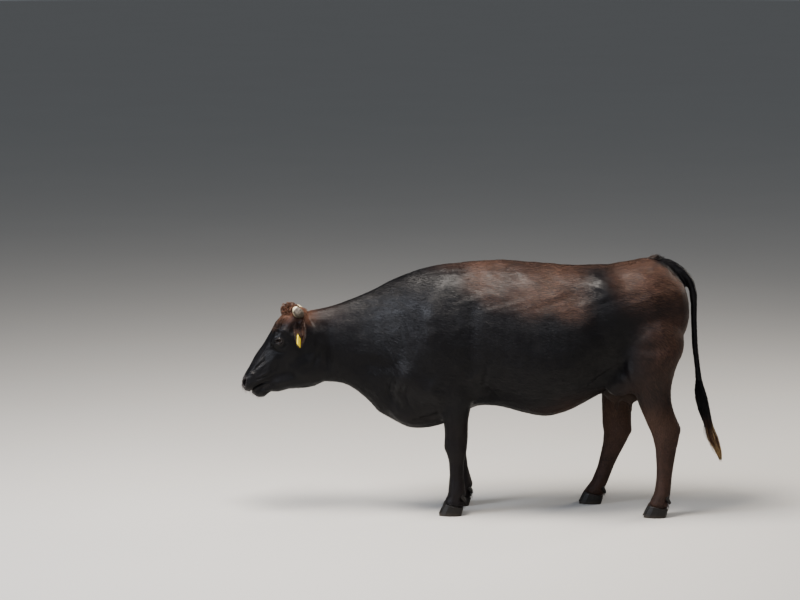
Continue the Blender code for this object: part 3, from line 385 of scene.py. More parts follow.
def floor_material(settings):
    """Matt painted studio floor, rolled on, so it takes a soft shadow and shows no reflection."""
    material, add, place = new_material("floor_matt_paint")
    tone = add("TexNoise", dict(GRAIN, Vector=place, Scale=0.7, Detail=2.0))
    share = add("MapRange", [tone, 0.3, 0.7, 0, 0.06])
    colour = add("Mix", {0: share, 6: opaque(settings.floor), 7: linear("#C9C6C0")}, **COLOUR)
    add("OutputMaterial", [add("BsdfPrincipled", {"Base Color": colour, "Roughness": 0.9})])
    return material


def look_of(settings):
    """The colours that the hide and the coat share."""
    # The first colour is painted shade for the insides of the nostrils and mouth and round the eyes.
    skin = {"pit_painted_shade": "#040303", "pad": "#1D1A1B", "pad_pale": "#383434", "udder": "#22170F"}
    look = {name: linear(colour) for name, colour in skin.items()}
    look.update({name: opaque(getattr(settings, name)) for name in ("black", "brown", "rust", "bleached")})
    return look


# --- meshes ---------------------------------------------------------------------------------------


def read_rows(items, key, width, kind=np.float32):
    """One row for each of a mesh's items."""
    values = np.empty(len(items) * width, kind)
    items.foreach_get(key, values)
    return values.reshape(-1, width).astype(float if kind is np.float32 else int)


def read_points(mesh):
    return read_rows(mesh.vertices, "co", 3)


def write_points(mesh, points):
    mesh.vertices.foreach_set("co", points.astype(np.float32).ravel())
    mesh.update()


def read_normals(mesh):
    return read_rows(mesh.vertex_normals, "vector", 3)


def write_attribute(mesh, name, values):
    kind, key = ("FLOAT", "value") if values.ndim == 1 else ("FLOAT_VECTOR", "vector")
    layer = mesh.attributes.new(name, kind, "POINT")
    layer.data.foreach_set(key, values.astype(np.float32).ravel())


def read_attribute(mesh, name):
    return read_rows(mesh.attributes[name].data, "value", 1)[:, 0]


def unit(vectors):
    return vectors / np.maximum(np.linalg.norm(vectors, axis=-1, keepdims=True), 1e-9)


def smoothstep(value, low, high):
    """0 at low to 1 at high. Where low is above high it falls instead."""
    t = np.clip((value - low) / (high - low), 0, 1)
    return t * t * (3 - 2 * t)


def by_word(table, name, otherwise=None):
    """The table's value for the first of its words that is in the name."""
    return next((value for word, value in table.items() if word in name), otherwise)


class Neighbours:
    """The mean of each point's neighbours along the mesh's edges."""

    def __init__(self, mesh):
        self.ends, self.count = read_rows(mesh.edges, "vertices", 2, np.int32), len(mesh.vertices)
        self.degree = np.maximum(np.bincount(self.ends.ravel(), minlength=self.count), 1)[:, None]

    def mean(self, values, rounds=1):
        a, b = self.ends.T
        flat = values.ndim == 1
        values = values[:, None] if flat else values
        for _ in range(rounds):
            total = np.empty_like(values)
            for k in range(values.shape[1]):
                total[:, k] = np.bincount(a, values[b, k], self.count)
                total[:, k] += np.bincount(b, values[a, k], self.count)
            values = total / self.degree
        return values[:, 0] if flat else values

    def relax(self, points, rounds, share, shrink=0.5, swell=-0.53):
        """Smooths without shrinking: a step in, then a slightly longer one out, by each point's share."""
        for _ in range(rounds):
            for step in (shrink, swell):
                points = points + step * share[:, None] * (self.mean(points) - points)
        return points


def add_object(name, data):
    thing = bpy.data.objects.new(name, data)
    bpy.context.scene.collection.objects.link(thing)
    return thing


def add_piece(name, mesh, material, slot, *replaced, place=None):
    """A piece of the cow, which rides on its one body and may stand for CAD nodes."""
    mesh.materials.clear()
    mesh.materials.append(material)
    thing = add_object(name, mesh)
    if place is not None:
        thing.matrix_world = place
    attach(thing, "root")
    if replaced:
        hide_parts(*replaced)
    return thing


def modified(mesh, name, kind, **settings):
    """A new mesh, which is the given one with a modifier applied. The given one is removed."""
    thing = add_object("modifying", mesh)
    modifier = thing.modifiers.new("change", kind)
    for key, value in settings.items():
        setattr(modifier, key, value)
    graph = bpy.context.evaluated_depsgraph_get()
    result = bpy.data.meshes.new_from_object(thing.evaluated_get(graph))
    result.name = name
    bpy.data.objects.remove(thing)
    bpy.data.meshes.remove(mesh)
    return result


def joined_copy(names, grow=0.0, reshape=None):
    """The CAD nodes in one mesh, each grown so that neighbours overlap across their gap. reshape maps a
    name to what is done to its points."""
    whole = bmesh.new()
    for name in names:
        mesh = NODES[name].data.copy()
        welded = bmesh.new()
        welded.from_mesh(mesh)
        bmesh.ops.remove_doubles(welded, verts=welded.verts, dist=0.00001)
        welded.normal_update()
        for vertex in welded.verts:
            vertex.co += vertex.normal * grow
        welded.to_mesh(mesh)
        welded.free()
        if reshape and name in reshape:
            write_points(mesh, reshape[name](read_points(mesh)))
        whole.from_mesh(mesh)
        bpy.data.meshes.remove(mesh)
    mesh = bpy.data.meshes.new("joined")
    whole.to_mesh(mesh)
    whole.free()
    return mesh


def remeshed(names, voxel, name, *, grow=0.0, reshape=None, add=None):
    """One closed even mesh round the CAD nodes, and its neighbours. add puts more into the mesh first."""
    mesh = joined_copy(names, grow, reshape)
    if add:
        add(mesh)
    mesh = modified(mesh, name, "REMESH", mode="VOXEL", voxel_size=voxel)
    return mesh, read_points(mesh), Neighbours(mesh)


def refine(mesh, wanted):
    """Halves the edges where wanted(points) is true, for folds finer than the rest of the hide."""
    form = bmesh.new()
    form.from_mesh(mesh)
    chosen = wanted(read_points(mesh))
    edges = [e for e in form.edges if chosen[e.verts[0].index] and chosen[e.verts[1].index]]
    bmesh.ops.subdivide_edges(form, edges=edges, cuts=1, use_grid_fill=True)
    form.to_mesh(mesh)
    form.free()
    mesh.update()


def tree_of(points):
    tree = KDTree(len(points))
    for index, point in enumerate(points):
        tree.insert(point, index)
    tree.balance()
    return tree


def nearest_names(points, names):
    """For each point, the index in names of the CAD node whose surface is nearest."""
    places, owner = [], []
    for index, name in enumerate(names):
        mesh = NODES[name].data
        places += [read_points(mesh), np.array([p.center for p in mesh.polygons])]
        owner += [index] * (len(places[-2]) + len(places[-1]))
    tree = tree_of(np.vstack(places))
    return np.array(owner)[[tree.find(p)[1] for p in points]]


# --- the hide's folds and openings ----------------------------------------------------------------


def near_line(points, line, width):
    """A soft ridge along a line of (x, z) points in the side view: 1 on the line, falling off over width
    metres, and fading towards the line's ends."""
    flat = points[:, [0, 2]]
    best, place = np.full(len(points), 9.0), np.zeros(len(points))
    line = np.array(line, float)
    steps = np.linalg.norm(np.diff(line, axis=0), axis=1)
    start = 0.0
    for a, b, length in zip(line[:-1], line[1:], steps):
        t = np.clip(((flat - a) @ (b - a)) / length**2, 0, 1)
        gap = np.linalg.norm(flat - (a + t[:, None] * (b - a)), axis=1)
        closer = gap < best
        best = np.where(closer, gap, best)
        place = np.where(closer, (start + t * length) / steps.sum(), place)
        start += length
    fade = np.sin(np.pi * np.clip(place * 0.92 + 0.04, 0, 1)) ** 0.6
    return np.exp(-((best / width) ** 2)) * fade


def blob(points, centre, radii):
    """1 at the centre, falling off over the radii."""
    return np.exp(-(((points - np.array(centre)) / np.array(radii)) ** 2).sum(1))


def folded(points, table, place):
    """A table's ridges and grooves, in metres outwards."""
    lines = ((width, height, [place(*each) for each in places]) for width, height, *places in table)
    return sum(height * MM * near_line(points, line, width * MM) for width, height, line in lines)


def folds_at(points, normals):
    """All folds of the face, trunk, neck and thighs, and the lips, in metres outwards."""
    x, _, z = points.T
    aside = np.abs(normals[:, 1])
    rise = folded(points, HEAD_FOLDS, on_head) * smoothstep(aside, 0.15, 0.6)
    rise *= smoothstep(x, EYE_X + 0.26, EYE_X + 0.20)
    rise += folded(points, BODY_FOLDS, on_body) * smoothstep(aside, 0.25, 0.7)
    # the loose coat over the back
    loose = 0.0026 * np.sin(x * 27 + 2 * np.sin(z * 19)) * np.sin(z * 37 + x * 6 + 1)
    loose += 0.0012 * np.sin(x * 61 + 3 * np.sin(z * 31)) * np.sin(z * 83 + x * 11)
    rise += loose * smoothstep(z, 1.02, 1.14) * smoothstep(x, along_body(0.16), along_body(0.28))
    neck = smoothstep(x, EYE_X + 0.20, EYE_X + 0.30) * smoothstep(x, along_body(0.16), along_body(0.04))
    neck *= smoothstep(z, 1.02, 0.80) * smoothstep(aside, 0.15, 0.6)
    wrinkle = 0.034  # from one to the next
    rise += 0.0004 * neck * np.sin((x + 0.30 * (z - 0.8) + 0.012 * np.sin(z * 31)) * TURN / wrinkle)
    line = np.array([2 * np.array(MOUTH[0]) - MOUTH[1], *MOUTH])
    rolls = near_line(points, line + (0, 0.0100), 0.0048) + near_line(points, line - (0, 0.0100), 0.0050)
    return rise - 0.0125 * near_line(points, line, 0.0048) + 0.0018 * rolls


def eye_axes(side):
    """The eye's own directions: outwards, towards its front corner, and up across the lids."""
    sign = SIDES[side]
    out = unit(np.array([-0.40, sign * 0.90, 0.06]))
    front = np.array([-0.96, 0, -0.22])
    front = unit(front - (front @ out) * out)
    up = np.cross(front, out) * sign
    return out, front, up * np.sign(up[2])


def open_the_eye(points, side):
    """Lids over the eyeball: behind its surface inside the opening, and just over it at the rims."""
    out, front, up = eye_axes(side)
    offset = points - EYE[side]
    reach = np.linalg.norm(offset, axis=1)
    a, b = offset @ front, offset @ up
    near = (reach < EYE_RADIUS * 2.6) & (offset @ out > -0.002)
    arch = np.clip(1 - (a / LID_HALF_WIDTH) ** 2, 0, 1) ** 0.8
    gap = np.maximum(b - LID_UPPER * arch, LID_LOWER * arch - b)  # below 0 inside the opening
    gap = np.maximum(gap, (np.abs(a) - LID_HALF_WIDTH) * 0.9)
    lid = EYE_RADIUS + 0.0010 + 0.0030 * smoothstep(gap, 0.0, 0.0045)
    crease = np.exp(-(((gap - 0.0075) / 0.0018) ** 2)) * 0.0016
    held = smoothstep(gap, 0.0140, 0.0055)
    wanted = reach * (1 - held) + lid * held - crease
    wanted = np.where(gap < 0, EYE_RADIUS - 0.0045, np.maximum(wanted, EYE_RADIUS + 0.0008))
    wanted = np.where(near, wanted, reach)
    return EYE[side] + offset * (wanted / np.maximum(reach, 1e-6))[:, None]


def about_the_muzzle(points):
    """1 over the nose and lips, falling to 0 along the face."""
    return smoothstep(points[:, 0], NOSE_X + 0.150, NOSE_X + 0.085)


def nostril_at(points, side):
    """How far out of the nostril points are, their distance round it, 1 at its edge, and its way out."""
    sign = SIDES[side]
    x, z = EYE_X - NOSTRIL_FORWARD, EYE_Z + NOSTRIL_UP
    out = unit(np.array([-0.62, sign * 0.78, 0.10]))
    tall = np.array([0.28, 0, 0.96])
    tall = unit(tall - (tall @ out) * out)
    across = np.cross(tall, out)
    offset = points - np.array([x, sign * NOSTRIL_OUT, z])
    a, b, c = offset @ across, offset @ tall, offset @ out
    a = a - 9.0 * b * b * np.sign(across[0])  # the comma's bend
    round_it = np.sqrt((a / 0.0115) ** 2 + (b / 0.0225) ** 2)
    return c, np.where(c > -0.03, round_it, 9.0), out


def open_the_nostril(points, side):
    """A comma-shaped nostril with a raised wing behind it."""
    height, round_it, out = nostril_at(points, side)
    hole = -0.0210 * smoothstep(round_it, 1.10, 0.50)
    rim = 0.0024 * np.exp(-(((round_it - 1.35) / 0.30) ** 2))
    return points + out * ((hole + rim) * smoothstep(height, -0.030, -0.018))[:, None]


# --- marks and the lie of the coat ----------------------------------------------------------------


def marks_at(points, label_is):
    """How brown, how rusty and how bare the hide is at each point, and 1 on the udder. label_is(word) is 1
    where the nearest solid's name holds the word. The coat reads the same marks at its roots."""
    x, y, z = points.T
    share = (x - BODY_FRONT) / (BODY_BACK - BODY_FRONT)
    edge = 1.15 - 0.10 * smoothstep(share, 0.30, 0.58)
    top = smoothstep(z + 0.025 * np.sin(x * 13) + 0.015 * np.sin(x * 31 + 1) - edge, -0.055, 0.055)
    cloud = 0.5 - 0.5 * np.cos((x - along_body(0.448)) * 15 + 1.5 * np.sin(z * 12))
    saddle = top * (0.26 + 0.28 * cloud) * smoothstep(share, 0.22, 0.30) * smoothstep(share, 0.69, 0.62)
    spine = np.exp(-((y / 0.09) ** 2)) * smoothstep(z, 1.22, 1.29) * smoothstep(share, 0.10, 0.3)
    rump = smoothstep(x - 0.35 * (1.30 - z), along_body(0.68), along_body(0.78)) * smoothstep(z, 1.02, 1.22)
    front = along_body(0.68) + 0.16 * smoothstep(z, 0.62, 0.80)
    thigh = smoothstep(x - front, 0.0, 0.24) * smoothstep(z, 1.16, 0.98)
    thigh = thigh * (0.35 + 0.65 * smoothstep(z, 0.55, 0.92))
    shank = smoothstep(share, 0.5, 0.6) * smoothstep(z, 0.70, 0.50) * smoothstep(z, 0.07, 0.26)
    # Under the belly the brown is partly brownish hair and partly a painted warm reflection from the ground.
    under = smoothstep(z, 0.62, 0.54) * smoothstep(share, 0.40, 0.62)
    fore = smoothstep(share, 0.5, 0.4) * smoothstep(z, 0.60, 0.45)
    fore *= 0.03 + 0.10 * smoothstep(x - along_body(0.27), -0.06, 0.05)
    brown = np.maximum.reduce(
        [saddle, 0.38 * spine, 0.58 * rump, 0.52 * thigh, 0.46 * shank, 0.45 * under, fore]
    )
    dock = [(along_body(s), up) for s, up in ((0.868, 1.345), (0.93, 1.320), (0.97, 1.262), (0.99, 1.150))]
    dock = near_line(points, dock, 0.034) * (np.abs(y) < 0.09)
    brown *= (1 - label_is("tail")) * smoothstep(dock, 0.6, 0.25)
    both = np.abs(points) * (-1, 1, 1)
    poll = blob(points, (EYE_X + 0.075, 0, EYE_Z + 0.165), (0.075, 0.10, 0.060))
    behind = blob(both, (EYE_X + 0.150, 0.085, EYE_Z + 0.130), (0.036, 0.07, 0.036)) * (np.abs(y) > 0.02)
    brow = blob(both, (EYE_X + 0.032, 0.050, EYE_Z + 0.130), (0.030, 0.04, 0.034))
    neck = blob(points, (EYE_X + 0.26, 0, EYE_Z + 0.13), (0.09, 0.08, 0.05))
    rust = np.clip(1.2 * poll + 0.7 * behind + 0.7 * brow + 0.1 * neck, 0, 1) * 0.85
    rust = np.maximum(rust, label_is("ear") * 0.05)
    pad = smoothstep(x, NOSE_X + 0.036, NOSE_X + 0.012) * smoothstep(z, EYE_Z - 0.275, EYE_Z - 0.262)
    bare = [pad * smoothstep(z, EYE_Z - 0.176, EYE_Z - 0.190), label_is("udder") * 0.75]
    for side in SIDES:
        reach = np.linalg.norm(points - EYE[side], axis=1) - EYE_RADIUS
        bare += [smoothstep(reach, 0.0065, 0.003), smoothstep(nostril_at(points, side)[1], 1.6, 1.1)]
    inner = np.abs(y) < 0.026 + 0.022 * smoothstep(x, NOSE_X + 0.01, NOSE_X + 0.12)
    bare.append(near_line(points, MOUTH, 0.016) ** 0.5 * inner)
    return np.stack([brown, rust, np.maximum.reduce(bare), label_is("udder")], 1)


def painted_shade_in_pits(points):
    """Painted shade: 1 inside the nostrils and the mouth, where no light gets, and half of that round the
    eyes.
    """
    pits = [smoothstep(near_line(points, MOUTH, 0.0060), 0.35, 0.8)]
    for side in SIDES:
        reach = np.linalg.norm(points - EYE[side], axis=1) - EYE_RADIUS
        pits += [smoothstep(nostril_at(points, side)[1], 0.95, 0.55), 0.55 * smoothstep(reach, 0.012, 0.004)]
    return np.maximum.reduce(pits)


LIE = {
    "trunk": (1, 0, -0.22), "neck": (1, 0, -0.40), "udder": (0.3, 0, -1), "foreleg": (0.12, 0, -1),
    "hindleg": (0.30, 0, -1), "tail_root": (0.9, 0, -0.4), "tail": (0.15, 0, -1), "poll": (0.2, 0, 1),
    "ear_left": (0, -0.8, -0.6), "ear_right": (0, 0.8, -0.6),
}


def lie_of_the_coat(points, labels):
    """Which way the hair points: out from the forehead's whorl, back along the neck and trunk, down the
    legs."""
    flow = unit(points - WHORL) + (0.15, 0, -0.10)
    for index, name in enumerate(ALL_UNDER_HIDE):
        way = by_word(LIE, name)
        if way:
            flow[labels == index] = way
    x, _, z = points.T
    thigh = smoothstep(x, along_body(0.72), along_body(0.92)) * smoothstep(z, 1.15, 0.75)
    brisket = smoothstep(x, along_body(0.22), along_body(0.02)) * smoothstep(z, 0.85, 0.55)
    return flow + thigh[:, None] * (-0.4, 0, -0.9) + brisket[:, None] * (-0.3, 0, -0.5)


def hair_size(points):
    """How long the hair is at a place, as a share of its length on the trunk: least on the nose and the
    feet."""
    x, _, z = points.T
    face = 0.40 - 0.21 * smoothstep(x, EYE_X + 0.02, NOSE_X + 0.02)
    leg = 0.54 * smoothstep(z, 0.66, 0.30) * smoothstep(x, along_body(0.05), along_body(0.15))
    return (face + (1 - face) * smoothstep(x, EYE_X + 0.14, EYE_X + 0.42)) * (1 - leg)


def lies_flat(flow, normals):
    return unit(flow - (flow * normals).sum(1)[:, None] * normals)


class Chart:
    """A CAD node's own length and the way round it, for an unwrap of the hide's shape over that node."""

    def __init__(self, name):
        points = read_points(NODES[name].data)
        self.centre = (points.min(0) + points.max(0)) / 2
        self.axes = np.linalg.svd(points - points.mean(0), full_matrices=False)[2]
        if np.linalg.det(self.axes) < 0:
            self.axes[2] *= -1
        local = (points - self.centre) @ self.axes.T
        self.low, self.high = local[:, 0].min(), local[:, 0].max()
        self.radius = np.linalg.norm(local[:, 1:], axis=1).mean()

    def place(self, points):
        """Metres along the node, and the angle round it."""
        local = (points - self.centre) @ self.axes.T
        return local[:, 0], np.arctan2(local[:, 2], local[:, 1])

    def unwrap(self, points):
        """The share along the node, 0 to 1, and the share of the way round it."""
        along, angle = self.place(points)
        along = np.clip((along - self.low) / (self.high - self.low), -0.1, 1.1)
        return (along + 0.1) / 1.2, angle / TURN + 0.5


# --- the ends of ears, tuft and tail inside the hide ----------------------------------------------


def ear_stump(points):
    """Only the root of the ear, which the whole ear then grows from."""
    points[:, 1] = np.clip(points[:, 1], -0.088, 0.088)
    return points


def tuft_core(points):
    base = np.array([points[:, 0].mean(), 0, points[:, 2].min()])
    return base + (points - base) * (0.80, 0.86, 0.62)


def tail_at(z):
    """Where the middle of the hanging tail is at a height, and its half width, by the solids' rings of
    points."""
    points = np.vstack([read_points(NODES[name].data) for name in ("tail_switch", "tail_dock")])
    points = points[np.argsort(points[:, 2])]
    rings = np.split(points, np.flatnonzero(np.diff(points[:, 2]) > RING_GAP) + 1)
    half = np.array([np.abs(ring[:, 1]).max() for ring in rings])
    middle = np.array([ring[np.abs(ring[:, 1]) > 0.7 * wide].mean(0) for ring, wide in zip(rings, half)])
    return np.interp(z, middle[:, 2], middle[:, 0]), np.interp(z, middle[:, 2], half)


def switch_core(points):
    """The thin end of the tail inside its switch."""
    top = points[:, 2].max()
    z = top + (points[:, 2] - top) * 0.62
    points[:, 0] = tail_at(z)[0] + (points[:, 0] - tail_at(points[:, 2])[0]) * 0.40
    points[:, 1] *= 0.40
    points[:, 2] = z
    return points


# --- tufts ----------------------------------------------------------------------------------------


def locks_mesh(name, line, width, thickness, across, marks, charts, flat=True):
    """One mesh of many locks, each a three-sided taper closed at its root and at its tip. line is each
    lock's points from root to tip, width and thickness its size at each point but the last, across the
    direction over its flat side, marks what the material reads of it, charts its root's place in the UV
    map."""
    count, stations = line.shape[:2]
    rings = stations - 1
    along = unit(np.diff(line, axis=1, append=2 * line[:, -1:] - line[:, -2:-1]))
    up = unit(np.cross(across, along))
    half = (width / 2)[:, :, None] * across[:, :rings]
    lift = (thickness / 2)[:, :, None] * up[:, :rings]
    middle = line[:, :rings]
    body = np.stack([middle - half + lift, middle - lift * 1.4, middle + half + lift], 2)
    points = np.concatenate([body.reshape(count, rings * 3, 3), line[:, -1:]], 1)
    each, last = rings * 3 + 1, rings * 3 - 3
    faces = [(2, 1, 0)]
    for start in range(0, last, 3):
        pairs = ((start + s, start + (s + 1) % 3) for s in range(3))
        faces += [(a, b, b + 3, a + 3) for a, b in pairs]
    faces += [(last + s, last + (s + 1) % 3, last + 3) for s in range(3)]
    corners = np.array([c for face in faces for c in face])
    sizes = np.array([len(face) for face in faces])
    mesh = bpy.data.meshes.new(name)
    mesh.vertices.add(count * each)
    mesh.vertices.foreach_set("co", points.astype(np.float32).ravel())
    loops = (corners[None] + each * np.arange(count)[:, None]).astype(np.int32)
    mesh.loops.add(loops.size)
    mesh.loops.foreach_set("vertex_index", loops.ravel())
    mesh.polygons.add(count * len(faces))
    starts = np.concatenate([[0], np.cumsum(np.tile(sizes, count))[:-1]]).astype(np.int32)
    mesh.polygons.foreach_set("loop_start", starts)
    mesh.update(calc_edges=True)
    share = np.append(np.repeat(np.arange(rings) / rings, 3), 1)
    over = np.append(np.tile([0, 0.5, 1], rings), 0.5)
    lean = np.append(np.tile([0, 0.12, 0], rings), 0)
    places = charts[:, None, :] + np.stack([over - 0.5, share + lean - 0.5], 1)[None] * PATCH
    layer = mesh.uv_layers.new(name="OFBake")
    layer.data.foreach_set("uv", places[:, corners].astype(np.float32).ravel())
    for key, values in marks.items():
        values = np.array(values, float)
        values = np.broadcast_to(values[:, None] if values.ndim == 1 else values, (count, stations))
        write_attribute(mesh, key, np.hstack([np.repeat(values[:, :rings], 3, 1), values[:, -1:]]).ravel())
    if "tip" not in marks:
        write_attribute(mesh, "tip", np.tile(share, count))
    mesh.polygons.foreach_set("use_smooth", np.full(count * len(faces), not flat))
    return mesh


class Hide:
    """What the hide's mesh says at each of its points, for the coat to grow from."""

    def __init__(self):
        thing = bpy.data.objects.get(HIDE)
        if thing is None:
            raise RuntimeError("The hide has to be made before the coat.")
        mesh = thing.data
        mesh.calc_loop_triangles()
        self.points, self.normals = read_points(mesh), read_normals(mesh)
        self.triangles = read_rows(mesh.loop_triangles, "vertices", 3, np.int32)
        self.flow = read_rows(mesh.attributes["flow"].data, "vector", 3)
        self.label = read_attribute(mesh, "label").astype(int)
        self.marks = {key: read_attribute(mesh, key) for key in ("brown", "rust", "bare")}
        a, b, c = (self.points[self.triangles[:, i]] for i in range(3))
        self.area = np.linalg.norm(np.cross(b - a, c - a), axis=1) / 2
        self.near, self.tree = Neighbours(mesh), tree_of(self.points)

    def where(self, *words, blend=0):
        """1 where the nearest solid's name holds one of the words, blended over the border in that many
        steps."""
        chosen = [i for i, name in enumerate(ALL_UNDER_HIDE) if any(word in name for word in words)]
        return self.near.mean(np.isin(self.label, chosen).astype(float), blend)

    def nearest(self, places):
        return np.array([self.tree.find(place)[1] for place in places])

    def roots(self, chance, count, rng):
        """count places on the hide, spread evenly by area times chance."""
        weight = self.area * chance[self.triangles].mean(1)
        total = np.cumsum(weight)
        picks = np.searchsorted(total, (np.arange(count) + rng.random(count)) / count * total[-1])
        picks = np.minimum(picks, len(weight) - 1)
        u, v = rng.random((2, count))
        over = u + v > 1
        u, v = np.where(over, 1 - u, u), np.where(over, 1 - v, v)
        share = np.stack([1 - u - v, u, v], 1)
        corners = self.triangles[picks]

        def at(values):
            return (values[corners] * share.reshape((count, 3) + (1,) * (values.ndim - 1))).sum(1)

        normal = unit(at(self.normals))
        label = self.label[corners[np.arange(count), share.argmax(1)]]
        flow = lies_flat(at(self.flow), normal)
        roots = {"point": at(self.points), "normal": normal, "flow": flow, "label": label}
        return {**roots, **{key: at(values) for key, values in self.marks.items()}}

    def charts(self, roots):
        """Each root's place on an unwrap of the hide: one column for each CAD node that the roots lie on."""
        places = np.zeros((len(roots["point"]), 2))
        present = sorted(set(roots["label"]))
        for column, index in enumerate(present):
            here = roots["label"] == index
            along, round_it = Chart(ALL_UNDER_HIDE[index]).unwrap(roots["point"][here])
            places[here, 0] = (column + 0.04 + 0.92 * round_it) / len(present)
            places[here, 1] = 0.01 + 0.98 * along
        return places


def turned(vector, axis, angle):
    """Each vector turned about its own unit axis."""
    c, s = np.cos(angle)[:, None], np.sin(angle)[:, None]
    return vector * c + np.cross(axis, vector) * s + axis * (axis * vector).sum(1)[:, None] * (1 - c)


def short_coat(
    hide, name, material, where, count, seed, settings, size=1.0, broad=1.0, lift=0.08, stray=0.15
):
    """A piece of short hair: thin flat blades in one mesh, lying along the body and overlapping like
    tiles."""
    rng = np.random.default_rng(seed)
    count = int(count * settings.fullness)
    roots = hide.roots(where / hair_size(hide.points) ** 1.4, count, rng)
    normal = roots["normal"]
    flow = turned(roots["flow"], normal, rng.normal(0, stray, count))
    share = hair_size(roots["point"])
    length = settings.body_length * size * share * rng.uniform(0.70, 1.20, count)
    width = settings.body_width * broad * share**0.8 * rng.uniform(0.75, 1.25, count)
    angle = np.abs(rng.normal(lift, lift * 0.4, count))
    thick = width * 0.30
    start = roots["point"] - normal * (0.0006 + thick * 0.5)[:, None]
    end = roots["point"] + flow * (np.cos(angle) * length)[:, None]
    under = hide.nearest(end)
    height = ((end - hide.points[under]) * hide.normals[under]).sum(1)
    end += hide.normals[under] * (np.sin(angle) * length + 0.0003 - height)[:, None]
    across = np.repeat(turned(np.cross(flow, normal), flow, rng.normal(0, 0.10, count))[:, None], 2, 1)
    marks = {key: roots[key] for key in ("brown", "rust", "bare")}
    marks["tone"] = rng.random(count)
    line = np.stack([start, end], 1)
    mesh = locks_mesh(name, line, width[:, None], thick[:, None], across, marks, hide.charts(roots))
    add_piece(name, mesh, material, "black_coat")


def long_locks(
    name, line, width, material, charts, seed, *, flatness=0.45, slot="black_coat", replaced=(), **marks
):
    """A piece of long hair: tapered locks that follow their own lines."""
    rng = np.random.default_rng(seed)
    count, stations = line.shape[:2]
    side = unit(np.cross(unit(np.gradient(line, axis=1)), unit(rng.normal(size=(count, 1, 3)))))
    taper = np.linspace(1, 0.35, stations - 1)[None] * width[:, None]
    marks = {"brown": 0, "rust": 0, "bare": 0, **marks, "tone": rng.random(count)}
    mesh = locks_mesh(name, line, taper, taper * flatness, side, marks, charts, flat=False)
    add_piece(name, mesh, material, slot, *replaced)


def lengths(rng, low, high, count):
    """One random length for each lock, to multiply its points by."""
    return rng.uniform(low, high, count)[:, None, None]


def shares(stations):
    """The share of its length at each of a lock's points."""
    return np.linspace(0, 1, stations)[None, :, None]


def grown(roots, way, length, t, rise=0.0):
    """Each lock's points: from its root along way, and risen along the hide's normal."""
    return roots["point"][:, None] + way[:, None] * length * t + roots["normal"][:, None] * rise


def along_line(values, share):
    """values read at a share of the way along them."""
    place = np.clip(share, 0, 1) * (len(values) - 1)
    low = np.minimum(place.astype(int), len(values) - 2)
    part = (place - low).reshape(place.shape + (1,) * (values.ndim - 1))
    return values[low] * (1 - part) + values[low + 1] * part


# --- settings -------------------------------------------------------------------------------------


def colour_property(name, description, default):
    return bpy.props.FloatVectorProperty(
        name=name, description=description, subtype="COLOR", size=3, min=0, max=1,
        default=linear(default, False),
    )


class CowCoatSettings(bpy.types.PropertyGroup):
    """Colours and sizes of the hide and coat"""

    black: colour_property("Black", "Colour of the neck, shoulder and face", "#09080A")
    brown: colour_property("Brown", "Colour of the sun-bleached back, rump and hind legs", "#3A2620")
    rust: colour_property("Rust", "Colour of the curls on the poll", "#4C2D21")
    bleached: colour_property("Bleached tips", "Colour of the tips of brown hair", "#7A5A42")
    body_length: bpy.props.FloatProperty(
        name="Body hair", description="Length of a tuft on the trunk", default=0.026,
        subtype="DISTANCE", unit="LENGTH",
    )
    body_width: bpy.props.FloatProperty(
        name="Tuft width", description="Width of a tuft on the trunk", default=0.0032,
        subtype="DISTANCE", unit="LENGTH",
    )
    fullness: bpy.props.FloatProperty(
        name="Fullness", description="Share of the full number of tufts", default=1, min=0.02, max=1.2,
        subtype="FACTOR",
    )


class CowHeadSettings(bpy.types.PropertyGroup):
    """Colours of the eyes, horns, hooves and tags"""

    iris: colour_property("Iris", "Colour of the iris", "#160D08")
    horn_pale: colour_property("Horn base", "Colour of the ivory ring at the horn's root", "#BFB396")
    horn_dark: colour_property("Horn end", "Colour of the blunt weathered end", "#231C16")
    claw: colour_property("Claw", "Colour of the hooves", "#0F0D0C")
    tag: colour_property("Ear tag", "Colour of the plastic ear tags", "#E8CE1E")


class CowStageSettings(bpy.types.PropertyGroup):
    """Floor, light and camera"""

    floor: colour_property("Floor", "Colour of the plain floor", "#AEACA8")
    distance: bpy.props.FloatProperty(
        name="Camera distance", description="From the camera to where it looks", default=15, unit="LENGTH"
    )
    height_angle: bpy.props.FloatProperty(
        name="Camera elevation", description="How far it looks down", default=math.radians(8.5),
        subtype="ANGLE",
    )
    lens: bpy.props.FloatProperty(name="Lens", description="Focal length in millimetres", default=130)
    aim: bpy.props.FloatVectorProperty(
        name="Aim", description="Where the camera looks", default=(-0.4304, 0, 1.111),
        subtype="XYZ", unit="LENGTH",
    )
    light: bpy.props.FloatProperty(
        name="Light", description="Strength of the overhead softbox", default=900, unit="POWER"
    )


# --- pieces ---------------------------------------------------------------------------------------


